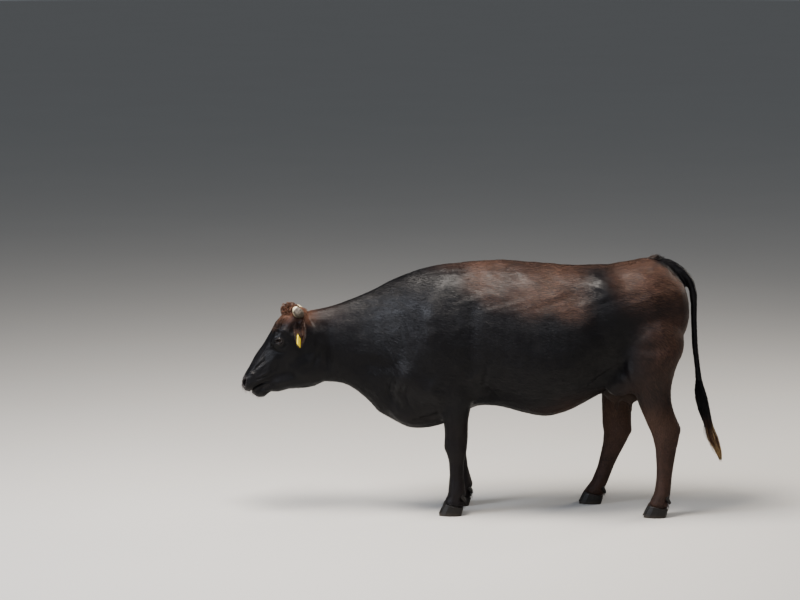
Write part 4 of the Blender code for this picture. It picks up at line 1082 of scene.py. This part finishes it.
class COW_OT_hide(bpy.types.Operator):
    """One seamless hide over all of the flesh, with lids, nostrils, folds and marks"""

    bl_idname = "cow.hide"
    bl_label = "Hide"

    def execute(self, context):
        reshape = {"poll_tuft": tuft_core, "tail_switch": switch_core, **dict.fromkeys(EARS, ear_stump)}
        mesh, points, near = remeshed(
            ALL_UNDER_HIDE, HIDE_VOXEL, HIDE, grow=HIDE_MARGIN, reshape=reshape, add=self.add_gums
        )
        labels = nearest_names(points, ALL_UNDER_HIDE)
        share = np.array([by_word(FIRMNESS, name, LEAST_FIRM) for name in ALL_UNDER_HIDE])[labels]
        share = near.mean(share, 6) * (1 - 0.5 * about_the_muzzle(points))
        write_points(mesh, near.relax(points, 34, share))
        mesh = self.with_ears(mesh)
        self.refine_head(mesh)
        labels = self.draw_in_and_fold(mesh)
        self.mark(mesh, labels)
        mesh.shade_smooth()
        add_piece(HIDE, mesh, hide_material(look_of(context.scene.cow_coat)), "black_coat", *FLESH, *EARS)
        return {"FINISHED"}

    def add_gums(self, mesh):
        """Closes the mouth inside, between the lips."""
        form = bmesh.new()
        form.from_mesh(mesh)
        (x0, z0), (x1, z1) = MOUTH[0], MOUTH[-1]
        place = Matrix.Translation(((x0 + x1) / 2 + 0.012, 0, (z0 + z1) / 2 + 0.004))
        lean = Matrix.Rotation(-math.atan2(z1 - z0, x1 - x0), 4, "Y")
        size = Matrix.Diagonal((math.hypot(x1 - x0, z1 - z0) * 0.50, 0.034, 0.020, 1))
        bmesh.ops.create_icosphere(form, subdivisions=3, radius=1, matrix=place @ lean @ size)
        form.to_mesh(mesh)
        form.free()

    def with_ears(self, mesh):
        ears, points, near = remeshed(EARS, EAR_VOXEL, "ears", grow=0.0010)
        write_points(ears, near.relax(points, 10, np.full(len(points), 0.7)))
        other = add_object("ears", ears)
        whole = modified(mesh, HIDE, "BOOLEAN", operation="UNION", solver="MANIFOLD", object=other)
        bpy.data.objects.remove(other)
        return whole

    def refine_head(self, mesh):
        nose = np.array([NOSE_X + 0.045, 0, EYE_Z - 0.240])

        def within(*places):
            return lambda p: np.any([np.linalg.norm(p - place, axis=1) < reach for place, reach in places], 0)

        refine(mesh, lambda p: (p[:, 0] < EYE_X + 0.16) & (np.abs(p[:, 1]) < 0.112))
        refine(mesh, within((nose, 0.092), *((place, 0.040) for place in EYE.values())))
        for side in SIDES:
            refine(mesh, within((EYE[side], EYE_RADIUS * 1.35)))
        points = read_points(mesh)
        head = smoothstep(points[:, 0], EYE_X + 0.22, EYE_X + 0.12) * (1 - 0.2 * about_the_muzzle(points))
        write_points(mesh, Neighbours(mesh).relax(points, 10, head))

    def draw_in_and_fold(self, mesh):
        """Draws the hide in by the coat's depth, and gives it its folds, lids and nostrils."""
        points, normals = read_points(mesh), read_normals(mesh)
        labels = nearest_names(points, ALL_UNDER_HIDE)
        depth = np.array([by_word(COAT_DEPTH, name) for name in ALL_UNDER_HIDE], float)[labels]
        depth = Neighbours(mesh).mean(depth, 10)
        not_ear = ~np.isin(labels, [ALL_UNDER_HIDE.index(name) for name in EARS])
        points = points + normals * (folds_at(points, normals) * not_ear - depth - HIDE_MARGIN)[:, None]
        for side in SIDES:
            points = open_the_nostril(open_the_eye(points, side), side)
        write_points(mesh, points)
        return labels

    def mark(self, mesh, labels):
        """Writes what the materials and the coat read of the hide."""
        points, normals, near = read_points(mesh), read_normals(mesh), Neighbours(mesh)
        flow = near.mean(lie_of_the_coat(points, labels), 24)

        def label_is(word):
            return np.isin(labels, [i for i, name in enumerate(ALL_UNDER_HIDE) if word in name]).astype(float)

        marks = marks_at(points, label_is)
        blended = [0, 1, 3]  # all but how bare
        marks[:, blended] = near.mean(marks[:, blended], 8)
        lie = np.zeros_like(points)
        for index in set(labels):
            here, chart = labels == index, Chart(ALL_UNDER_HIDE[index])
            along, angle = chart.place(points[here])
            lie[here, :2] = np.stack([angle * chart.radius, along], 1)
        columns = dict(zip(("brown", "rust", "bare", "udder"), marks.T))
        columns.update(
            flow=lies_flat(flow, normals), lie=lie, tip=np.zeros(len(points)),
            # The hide's tone is lowered by painted shade inside the nostrils and mouth and round the eyes.
            tone=SKIN_TONE * (1 - painted_shade_in_pits(points)),
            label=labels.astype(float),
        )
        for name, values in columns.items():
            write_attribute(mesh, name, values)


class COW_OT_body_coat(bpy.types.Operator):
    """Short flat hair over the trunk, neck, legs, feet and tail"""

    bl_idname = "cow.body_coat"
    bl_label = "Body coat"

    def execute(self, context):
        settings = context.scene.cow_coat
        hide = Hide()
        material = coat_material("hair_short_black_satin", look_of(settings))
        left, right = hide.points[:, 1] < 0, hide.points[:, 1] >= 0
        trunk = hide.where("trunk", blend=14)
        below = hide.where("cannon", "foot", blend=6)
        pieces = (  # name, where, blades, size
            ("trunk_left", trunk * left, 42000, 1.0),
            ("trunk_right", trunk * right, 42000, 1.0),
            ("neck", hide.where("neck", blend=14), 32000, 1.0),
            ("forelegs", hide.where("foreleg_left_upper", "foreleg_right_upper", blend=10), 19000, 0.95),
            ("hindlegs", hide.where("hindleg_left_upper", "hindleg_right_upper", blend=10), 19000, 0.95),
            ("shanks_left", below * left, 14000, 1.0),
            ("shanks_right", below * right, 14000, 1.0),
            ("tail_and_udder", hide.where("tail_root", "tail_dock", "udder"), 8000, 0.65),
        )
        for seed, (name, where, count, size) in enumerate(pieces, 11):
            where = where * (1 - hide.marks["bare"])
            short_coat(hide, f"coat_{name}", material, where, count, seed, settings, size, size)
        return {"FINISHED"}


class COW_OT_face_coat(bpy.types.Operator):
    """The finest hair, over the face and ears"""

    bl_idname = "cow.face_coat"
    bl_label = "Face coat"

    def execute(self, context):
        settings = context.scene.cow_coat
        hide = Hide()
        material = coat_material("hair_fine_black_face", look_of(settings), 0.36)
        x, y, z = hide.points.T
        head = hide.where("head", "muzzle", "poll_tuft", *EYES, blend=14) * (1 - hide.marks["bare"])
        lips = smoothstep(x, NOSE_X + 0.11, NOSE_X + 0.05) * smoothstep(z, EYE_Z - 0.20, EYE_Z - 0.26)
        head *= 1 - 0.6 * lips
        short_coat(hide, "coat_face_left", material, head * (y < 0), 42000, 21, settings, lift=0.10)
        short_coat(hide, "coat_face_right", material, head * (y >= 0), 42000, 22, settings, lift=0.10)
        short_coat(hide, "coat_ears", material, hide.where(*EARS), 15000, 23, settings, 1.15, lift=0.14)
        return {"FINISHED"}


class COW_OT_long_hair(bpy.types.Operator):
    """The curls of the poll, the fringes of the ears, the tail's switch, the lashes and the whiskers"""

    bl_idname = "cow.long_hair"
    bl_label = "Long hair"

    def execute(self, context):
        settings = context.scene.cow_coat
        self.look, self.full, self.hide = look_of(settings), settings.fullness, Hide()
        self.curly = coat_material("hair_long_brown_curly", self.look, 0.42)
        self.coarse = coat_material("hair_coarse_black", self.look, 0.34)
        makers = {
            self.poll_curls: 31, self.brow_locks: 33, self.ears: 35, self.switch: 37, self.tail_head: 39,
            self.coronets: 45, self.lashes: 41, self.whiskers: 43,
        }
        for make, seed in makers.items():
            make(seed)
        return {"FINISHED"}

    def poll_curls(self, seed):
        """Ringlets: fine strands in clumps, each clump with its own turn and lean."""
        hide, rng = self.hide, np.random.default_rng(seed)
        low, high = corner("poll_tuft"), corner("poll_tuft", True)
        centre, half = (low + high) / 2, (high - low) / 2
        inside = (np.abs(hide.points - centre) < half * 1.12 + 0.004).all(1)
        clumps, each = int(300 * self.full) + 4, 9
        clump = hide.roots(inside * hide.where("poll_tuft", "head"), clumps, rng)
        count = clumps * each
        roots = {key: np.repeat(values, each, 0) for key, values in clump.items()}
        away = unit(clump["point"] - (centre + (0.012, 0, -0.02)))
        lean = lies_flat(away + rng.normal(0, 0.45, (clumps, 3)) + (-0.5, 0, -0.25), clump["normal"])
        tangent = np.repeat(lean, each, 0)
        side = np.cross(roots["normal"], tangent)

        def per_clump(low, high):
            return np.repeat(lengths(rng, low, high, clumps), each, 0)

        charts = hide.charts(roots)
        apart = rng.normal(0, 0.0016, (count, 2))
        roots["point"] = roots["point"] + tangent * apart[:, :1] + side * apart[:, 1:]
        t = shares(10)
        length = per_clump(0.016, 0.032) * rng.uniform(0.8, 1.1, (count, 1, 1))
        turns = per_clump(0.7, 1.3) * np.repeat(rng.choice([-1, 1], clumps), each)[:, None, None]
        wave = TURN * turns * t + per_clump(0, TURN) + rng.normal(0, 0.18, (count, 1, 1))
        ring = per_clump(0.0022, 0.0042) * np.minimum(t * 3, 1)
        rise = per_clump(0.008, 0.030) * np.sin(np.pi * np.minimum(t * 1.1, 1) * 0.75) - 0.0015
        line = grown(roots, tangent, length, t, rise + ring * np.cos(wave))
        line += side[:, None] * ring * np.sin(wave)
        reach = np.linalg.norm((line - centre) / (half + 0.003), axis=2, keepdims=True)
        line = np.where(reach > 1, centre + (line - centre) / np.maximum(reach, 1e-6), line)
        light = 1 - 0.7 * smoothstep(line[..., 0], EYE_X + 0.060, EYE_X + 0.115)
        rust = np.repeat(rng.uniform(0.15, 1.0, clumps), each)[:, None] * light
        brown = rng.uniform(0.3, 1.0, count)[:, None] * light
        long_locks(
            "poll_curls", line, rng.uniform(0.0009, 0.0016, count), self.curly, charts, seed + 1,
            flatness=0.7, slot="brown_hair", replaced=["poll_tuft"], brown=brown, rust=rust,
        )

    def brow_locks(self, seed):
        """The rope of hair that hangs from the poll along each edge of the forehead, rusty above and black
        below, and the tufts behind the horns."""
        hide, rng = self.hide, np.random.default_rng(seed)
        aside = np.abs(hide.points[:, 1])
        rope = near_line(hide.points, [on_head(-60, 175), on_head(-6, 99), on_head(26, 62)], 0.013)
        patch = near_line(hide.points, [on_head(-120, 150), on_head(-150, 110)], 0.022) * 0.4
        chance = np.maximum(rope * (aside > 0.016), patch) * (aside < 0.12) * hide.where("head", "neck")
        chance[chance < 0.08] = 0
        count = int(1500 * self.full) + 10
        roots = hide.roots(chance, count, rng)
        front = roots["point"][:, :1] < EYE_X + 0.10
        way = np.where(front, (-0.62, 0, -0.90), (0.45, 0, -0.85)) + rng.normal(0, 0.13, (count, 3))
        tangent = lies_flat(way, roots["normal"])
        t, length = shares(6), lengths(rng, 0.016, 0.030, count)
        bend = rng.normal(0, 0.0016, count)[:, None, None] * np.cross(roots["normal"], tangent)[:, None]
        line = grown(roots, tangent, length, t, 0.0034 * np.sin(np.pi * t * 0.80) - 0.0012)
        line += bend * np.sin(TURN * t)
        height = smoothstep(line[..., 2], EYE_Z + 0.080, EYE_Z + 0.150)
        rust = np.where(front, 0.95 * height, 0.55 * height + 0.1) * rng.uniform(0.5, 1.1, (count, 1))
        long_locks(
            "brow_locks", line, rng.uniform(0.0013, 0.0024, count), self.curly, hide.charts(roots), seed + 1,
            slot="brown_hair", brown=0.25 + 0.75 * height, rust=np.clip(rust, 0, 1),
        )

    def ears(self, seed):
        """The fringe inside each ear, and the locks that fall over the stud of its tag."""
        hide, rng = self.hide, np.random.default_rng(seed)
        facing = np.zeros(len(hide.points))
        for side, sign in SIDES.items():
            way = unit(np.array([-0.45, sign * 0.58, 0.42]))
            facing += hide.where(f"ear_{side}") * smoothstep(hide.normals @ way, 0.40, 0.85)
        count, over_stud = int(900 * self.full) + 10, 110
        roots = hide.roots(facing, count, rng)
        y = roots["point"][:, 1]
        tip = np.stack([np.full(count, 0.10), np.sign(y) * 0.62, np.full(count, -0.78)], 1)
        tangent = lies_flat(tip + rng.normal(0, 0.22, (count, 3)), roots["normal"])
        t, length = shares(6), lengths(rng, 0.010, 0.022, count)
        low, high = corner("ear_left")[1], corner("ear_left", True)[1]
        left_over = np.clip((high - low) - np.abs(np.abs(y) - np.abs(high)), 0, 0.05)
        length = np.minimum(length, 0.010 + left_over[:, None, None])
        line = grown(roots, tangent, length, t, 0.0045 * np.sin(np.pi * t * 0.7) - 0.0012)
        line = np.concatenate([line, self.locks_over_the_stud(rng, over_stud, t[0])])
        roots = {key: np.concatenate([values, values[:over_stud]]) for key, values in roots.items()}
        count += over_stud
        long_locks(
            "ear_fringes", line, rng.uniform(0.0009, 0.0017, count), self.curly, hide.charts(roots), seed + 1,
            brown=rng.uniform(0.1, 0.7, count), rust=rng.uniform(0, 0.25, count),
        )

    def locks_over_the_stud(self, rng, count, t):
        lines = []
        for k in range(count):
            side, sign = tuple(SIDES.items())[k % 2]
            low, high = corner(f"tag_{side}"), corner(f"tag_{side}", True)
            x = rng.uniform(low[0] - 0.012, high[0] + 0.008)
            start = np.array([x, sign * 0.118, high[2] + rng.uniform(0.004, 0.026)])
            face = sign * rng.uniform(0.150, 0.176)
            end = np.array([x + rng.normal(0.002, 0.004), face * 1.08, high[2] - rng.uniform(0.012, 0.030)])
            over = np.array([(x + end[0]) / 2, face, high[2] + 0.012])
            lines.append(start * (1 - t) ** 2 + 2 * over * t * (1 - t) + end * t**2)
        return np.array(lines)

    def switch(self, seed):
        """Long coarse locks that fill the switch, bleached towards the end, with a few that stray."""
        rng = np.random.default_rng(seed)
        z = np.linspace(corner("tail_switch", True)[2] + 0.050, corner("tail_switch")[2], 24)
        place, radius = tail_at(z)
        count = int(1150 * self.full) + 20
        stray = np.arange(count) < 26
        t = np.linspace(0, 1, 10)
        start = np.where(stray, rng.uniform(0.45, 0.66, count), rng.uniform(0, 0.62, count) ** 1.1)
        end = np.clip(start + rng.uniform(0.28, 0.62, count), 0, 0.97)
        end = np.where(rng.random(count) < 0.10, rng.uniform(0.93, 1.0, count), end)
        share = start[:, None] + (end - start)[:, None] * t
        angle = rng.uniform(0, TURN, count)[:, None] + rng.normal(0, 0.30, (count, 1)) * t
        out = np.sqrt(rng.uniform(0.10, 1.0, count))[:, None] * (0.55 + 0.45 * np.minimum(t * 3.0, 1))
        out = out * (1 - 0.20 * t) + rng.normal(0, 0.05, (count, 1)) * t
        flare = 1 + 0.9 * smoothstep(share, 0.58, 0.76) * smoothstep(share, 1.0, 0.80)
        spread = (along_line(radius, share) + 0.0010) * np.minimum(out, 1.0) * flare
        turn = TURN * (rng.uniform(1.0, 2.2, count)[:, None] * t + rng.random((count, 1)))
        wave = np.where(stray, 0.0070, 0.0030)[:, None] * np.sin(turn) * t
        line = along_line(np.stack([place, np.zeros(len(z)), z], 1), share)
        line[..., 0] += spread * np.cos(angle) + wave - np.where(stray, 0.010, 0)[:, None] * np.sin(np.pi * t)
        line[..., 1] += spread * np.sin(angle) + 0.5 * wave
        fade = share + rng.normal(0, 0.09, (count, 1))
        charts = np.stack([0.05 + 0.9 * (angle[:, 0] % TURN) / TURN, 0.05 + 0.9 * start], 1)
        pale = {**self.look, "bleached": linear("#DDBB80")}
        straw = coat_material("hair_switch_bleached_straw", pale, 0.36)
        width = rng.uniform(0.0020, 0.0038, count) * np.where(stray, 0.7, 1.0)
        long_locks(
            "tail_switch_locks", line, width, straw, charts, seed + 1, flatness=0.6, slot="brown_hair",
            replaced=["tail_switch"],
            brown=smoothstep(fade, 0.52, 0.78),
            rust=smoothstep(fade, 0.56, 0.80) * 0.7,
            tip=smoothstep(fade, 0.74, 0.87) * (1 - 0.85 * smoothstep(fade, 0.91, 0.99)),
        )

    def tail_head(self, seed):
        """The ruffled crest of hair that stands up over the root of the tail."""
        hide, rng = self.hide, np.random.default_rng(seed)
        crest = np.array([along_body(0.885), 0, corner("tail_root", True)[2]])
        chance = blob(hide.points, crest, (0.032, 0.022, 0.030)) * (hide.normals[:, 2] > 0.2)
        chance[chance < 0.15] = 0
        count = int(420 * self.full) + 10
        roots = hide.roots(chance, count, rng)
        t, middle = shares(6), blob(roots["point"], crest, (0.026, 0.030, 0.05))
        length = (0.010 + 0.023 * middle * rng.uniform(0.6, 1.1, count))[:, None, None]
        way = unit(np.array([0.55, 0, 0.85]) + rng.normal(0, 0.22, (count, 3)))
        line = grown(roots, way, length, t, -0.0012)
        line[..., 0] += (0.010 * t**2)[..., 0]
        long_locks(
            "tail_head_ruffle", line, rng.uniform(0.0014, 0.0026, count), self.coarse, hide.charts(roots),
            seed + 1, brown=roots["brown"] * 0.5, rust=roots["rust"],
        )

    def coronets(self, seed):
        """The fringe over the top of each hoof, and the hair round the dewclaws."""
        hide, rng = self.hide, np.random.default_rng(seed)
        chance = np.zeros(len(hide.points))
        for leg in LEGS:
            inner, outer = f"{leg}_claw_inner", f"{leg}_claw_outer"
            low, high = corner(outer) - (0.02, 0.02, 0), corner(outer, True) + (0.02, 0.05, 0.016)
            low[1] = min(low[1], corner(inner)[1] - 0.02)
            high[1] = max(high[1], corner(inner, True)[1] + 0.02)
            chance += ((hide.points > low) & (hide.points < high)).all(1)
        count = int(1000 * self.full) + 10
        roots = hide.roots(chance * (hide.normals[:, 2] > -0.6), count, rng)
        way = roots["normal"] * (0.95, 0.95, 0) + (0, 0, -0.55)
        way = unit(way + rng.normal(0, 0.12, (count, 3)))
        t, length = shares(4), lengths(rng, 0.012, 0.021, count)
        line = grown(roots, way, length, t, -0.0010)
        line[..., 2] -= (length * 0.55 * t**2)[..., 0]
        long_locks(
            "hoof_fringes", line, rng.uniform(0.0010, 0.0020, count), self.coarse, hide.charts(roots),
            seed + 1, brown=roots["brown"], rust=roots["rust"],
        )

    def lashes(self, seed):
        """Lashes along the upper lid, longest and most forward at the front of the eye."""
        rng = np.random.default_rng(seed)
        lines, count, t = [], 46, np.linspace(0, 1, 6)[:, None]
        for side in SIDES:
            out, front, up = eye_axes(side)
            for k in range(count):
                a = LID_HALF_WIDTH * (1.7 * (k + rng.uniform(0.2, 0.8)) / count - 0.92)
                b = LID_UPPER * max(0, 1 - (a / LID_HALF_WIDTH) ** 2) ** 0.8 + 0.0008
                depth = math.sqrt(max(EYE_RADIUS**2 - a * a - b * b, 0)) + 0.0016
                length = rng.uniform(0.013, 0.019)
                way = out * 0.9 + up * rng.uniform(-0.50, -0.15) + front * (a * 22 + rng.normal(0, 0.08))
                way = unit(way)
                root = EYE[side] + a * front + b * up + depth * out
                lines.append(root + way * length * t + up * 0.00525 * t**2)
        line = np.array(lines)
        total = len(line)
        charts = np.stack([np.linspace(0.05, 0.95, total), np.full(total, 0.5)], 1)
        long_locks("eye_lashes", line, np.full(total, 0.0008), self.coarse, charts, seed + 1, flatness=0.9)

    def whiskers(self, seed):
        """Sparse stiff hairs on the lips and chin."""
        hide, rng = self.hide, np.random.default_rng(seed)
        x, _, z = hide.points.T
        chance = smoothstep(x, NOSE_X + 0.13, NOSE_X + 0.06) * smoothstep(z, EYE_Z - 0.20, EYE_Z - 0.27)
        chance *= hide.where("head", "muzzle") * (hide.normals[:, 2] < 0.7)
        count = 150
        roots = hide.roots(chance, count, rng)
        way = unit(roots["normal"] + 0.9 * roots["flow"] + rng.normal(0, 0.2, (count, 3)) - (0, 0, 0.3))
        t, length = shares(5), lengths(rng, 0.008, 0.020, count)
        line = grown(roots, way, length, t)
        line[..., 2] -= (length * t**2 * 0.25)[..., 0]
        width, charts = np.full(count, 0.0007), hide.charts(roots)
        long_locks("lip_whiskers", line, width, self.coarse, charts, seed + 1, flatness=0.9, brown=0.2)


class COW_OT_eyes(bpy.types.Operator):
    """Two eyeballs with a domed cornea, looking outwards and a little ahead"""

    bl_idname = "cow.eyes"
    bl_label = "Eyes"

    def execute(self, context):
        material = eye_material(context.scene.cow_head)
        for side in SIDES:
            out, _, up = eye_axes(side)
            ball = bmesh.new()
            bmesh.ops.create_uvsphere(ball, u_segments=64, v_segments=48, radius=EYE_RADIUS - 0.0002)
            for vertex in ball.verts:
                away = math.hypot(vertex.co.x, vertex.co.y) / 0.0128
                if vertex.co.z > 0 and away < 1:
                    vertex.co.z += 0.0009 * (1 - away * away) ** 2
            mesh = bpy.data.meshes.new(f"eyeball_{side}")
            ball.to_mesh(mesh)
            ball.free()
            mesh.shade_smooth()
            axes = Matrix(np.stack([np.cross(up, out), up, out], 1)).to_4x4()
            axes.translation = Vector(EYE[side])
            add_piece(f"eyeball_{side}", mesh, material, "eye", f"eye_{side}", place=axes)
        return {"FINISHED"}


class COW_OT_horns(bpy.types.Operator):
    """Two short blunt horns with growth rings"""

    bl_idname = "cow.horns"
    bl_label = "Horns"

    def execute(self, context):
        material = horn_material(context.scene.cow_head)
        for side in SIDES:
            node = f"horn_{side}"
            mesh, points, near = remeshed([node], HORN_VOXEL, f"{node}_keratin")
            low, size = points.min(0), np.ptp(points, 0)
            for _ in range(50):
                points = 0.4 * points + 0.6 * near.mean(points)
            points = low + (points - points.min(0)) * size / np.ptp(points, 0)
            write_points(mesh, points)
            x, y, z = points.T
            out = np.abs(y)
            share = (out - out.min()) / np.ptp(out)
            rise = 0.00045 * np.sin(TURN * out / 0.0075) * smoothstep(share, 0.85, 0.6)  # growth rings
            rise += 0.0005 * np.sin(x * 310 + 1.3) * np.sin(z * 270) * smoothstep(share, 0.6, 0.9)  # chips
            write_points(mesh, points + read_normals(mesh) * (rise - 0.0004)[:, None])
            across = (x - x.mean()) - 0.7 * (z - z.mean())
            write_attribute(mesh, "end", smoothstep(share + across / 0.06, 0.34, 0.58))
            mesh.shade_smooth()
            add_piece(f"{node}_keratin", mesh, material, "horn", node)
        return {"FINISHED"}


class COW_OT_hooves(bpy.types.Operator):
    """The cloven hooves and dewclaws, one piece for each foot"""

    bl_idname = "cow.hooves"
    bl_label = "Hooves"

    def execute(self, context):
        material = claw_material(context.scene.cow_head)
        for leg in LEGS:
            nodes = [f"{leg}_{claw}_{place}" for claw in ("claw", "dewclaw") for place in ("inner", "outer")]
            mesh, points, near = remeshed(nodes, HOOF_VOXEL, f"{leg}_hooves")
            points = near.relax(points, 20, np.full(len(points), 0.8))
            write_points(mesh, points)
            normals = read_normals(mesh)
            rings = 0.00022 * np.sin(TURN * (points[:, 2] - 0.25 * points[:, 0]) / 0.0105)
            rings *= smoothstep(np.abs(normals[:, 2]), 0.9, 0.6)
            points = points + normals * (rings - 0.0003)[:, None]
            points[:, 2] = np.maximum(points[:, 2], 0)
            write_points(mesh, points)
            mesh.shade_smooth()
            add_piece(f"{leg}_hooves", mesh, material, "claw_horn", *nodes)
        return {"FINISHED"}


class COW_OT_tags(bpy.types.Operator):
    """The plain yellow tag in each ear, with softly rounded edges and a dark stud"""

    bl_idname = "cow.tags"
    bl_label = "Ear tags"

    def execute(self, context):
        material = tag_material(context.scene.cow_head)
        for side in SIDES:
            node = f"tag_{side}"
            mesh = modified(
                joined_copy([node]), f"{node}_plate", "BEVEL", width=0.0007, segments=3, limit_method="ANGLE"
            )
            mesh.shade_smooth()
            mesh.set_sharp_from_angle(angle=math.radians(50))
            write_attribute(mesh, "stud", smoothstep(np.abs(read_points(mesh)[:, 1]), 0.150, 0.140))
            add_piece(f"{node}_plate", mesh, material, "tag_plastic", node)
        return {"FINISHED"}


class COW_OT_stage(bpy.types.Operator):
    """A plain pale floor, soft light from large boxes, and the camera"""

    bl_idname = "cow.stage"
    bl_label = "Stage"

    def execute(self, context):
        settings = context.scene.cow_stage
        ground = bmesh.new()
        bmesh.ops.create_circle(ground, cap_ends=True, segments=96, radius=60)
        mesh = bpy.data.meshes.new("floor")
        ground.to_mesh(mesh)
        ground.free()
        mesh.materials.append(floor_material(settings))
        floor = add_object("floor", mesh)
        floor.location.z = -0.0005
        world = bpy.data.worlds.new("soft_daylight")
        world.use_nodes = True
        sky = world.node_tree.nodes["Background"]
        sky.inputs["Color"].default_value = linear("#D8E0EA")
        sky.inputs["Strength"].default_value = 0.24
        context.scene.world = world
        boxes = (  # name, place, size, share of the overhead light's power, colour
            ("overhead_box", (-1.3, -0.9, 5.2), (2.5, 1.8), 1.00, "#FFF7EE"),
            ("front_box", (-5.0, -2.6, 3.6), (1.6, 1.6), 0.34, "#EAF1FF"),
            ("camera_side_box", (0.6, -6.0, 4.2), (3.0, 1.6), 0.16, "#F2F5FF"),
            ("rear_box", (4.6, 2.4, 3.2), (1.8, 1.8), 0.20, "#FFF6EA"),
        )
        for name, place, size, share, colour in boxes:
            lamp = bpy.data.lights.new(name, "AREA")
            lamp.shape = "RECTANGLE"
            lamp.size, lamp.size_y = size
            lamp.energy = settings.light * share
            lamp.color = linear(colour, False)
            self.put(add_object(name, lamp), Vector(place), Vector((0.1, 0, 0.9)))
        view = bpy.data.cameras.new("camera")
        view.lens, view.sensor_width = settings.lens, 36
        view.clip_start, view.clip_end = 0.1, 200
        aim = Vector(settings.aim)
        back = Vector((0, -math.cos(settings.height_angle), math.sin(settings.height_angle)))
        context.scene.camera = self.put(add_object("camera", view), aim + back * settings.distance, aim)
        return {"FINISHED"}

    def put(self, thing, place, aim):
        """Puts a light or the camera at a place, looking at aim."""
        thing.location = place
        thing.rotation_euler = (aim - place).to_track_quat("-Z", "Y").to_euler()
        return thing


OPERATORS = (
    COW_OT_hide, COW_OT_body_coat, COW_OT_face_coat, COW_OT_long_hair, COW_OT_eyes, COW_OT_horns,
    COW_OT_hooves, COW_OT_tags, COW_OT_stage,
)
SETTINGS = {"cow_coat": CowCoatSettings, "cow_head": CowHeadSettings, "cow_stage": CowStageSettings}


class COW_PT_panel(bpy.types.Panel):
    """The cow's settings and the pieces in the order they are made"""

    bl_idname = "COW_PT_panel"
    bl_label = "Standing Black Cow"
    bl_space_type = "VIEW_3D"
    bl_region_type = "UI"
    bl_category = "Cow"

    def draw(self, context):
        for key in SETTINGS:
            group = getattr(context.scene, key)
            column = self.layout.column(align=True)
            for name in group.__annotations__:
                column.prop(group, name)
        column = self.layout.column(align=True)
        for operator in OPERATORS:
            column.operator(operator.bl_idname)


def register():
    for each in (*SETTINGS.values(), *OPERATORS, COW_PT_panel):
        bpy.utils.register_class(each)
    for key, group in SETTINGS.items():
        setattr(bpy.types.Scene, key, bpy.props.PointerProperty(type=group))


def unregister():
    for key in SETTINGS:
        delattr(bpy.types.Scene, key)
    for each in reversed((*SETTINGS.values(), *OPERATORS, COW_PT_panel)):
        bpy.utils.unregister_class(each)


def main():
    register()
    for operator in OPERATORS:
        getattr(bpy.ops.cow, operator.bl_idname.split(".")[1])()


if __name__ == "__main__":
    main()
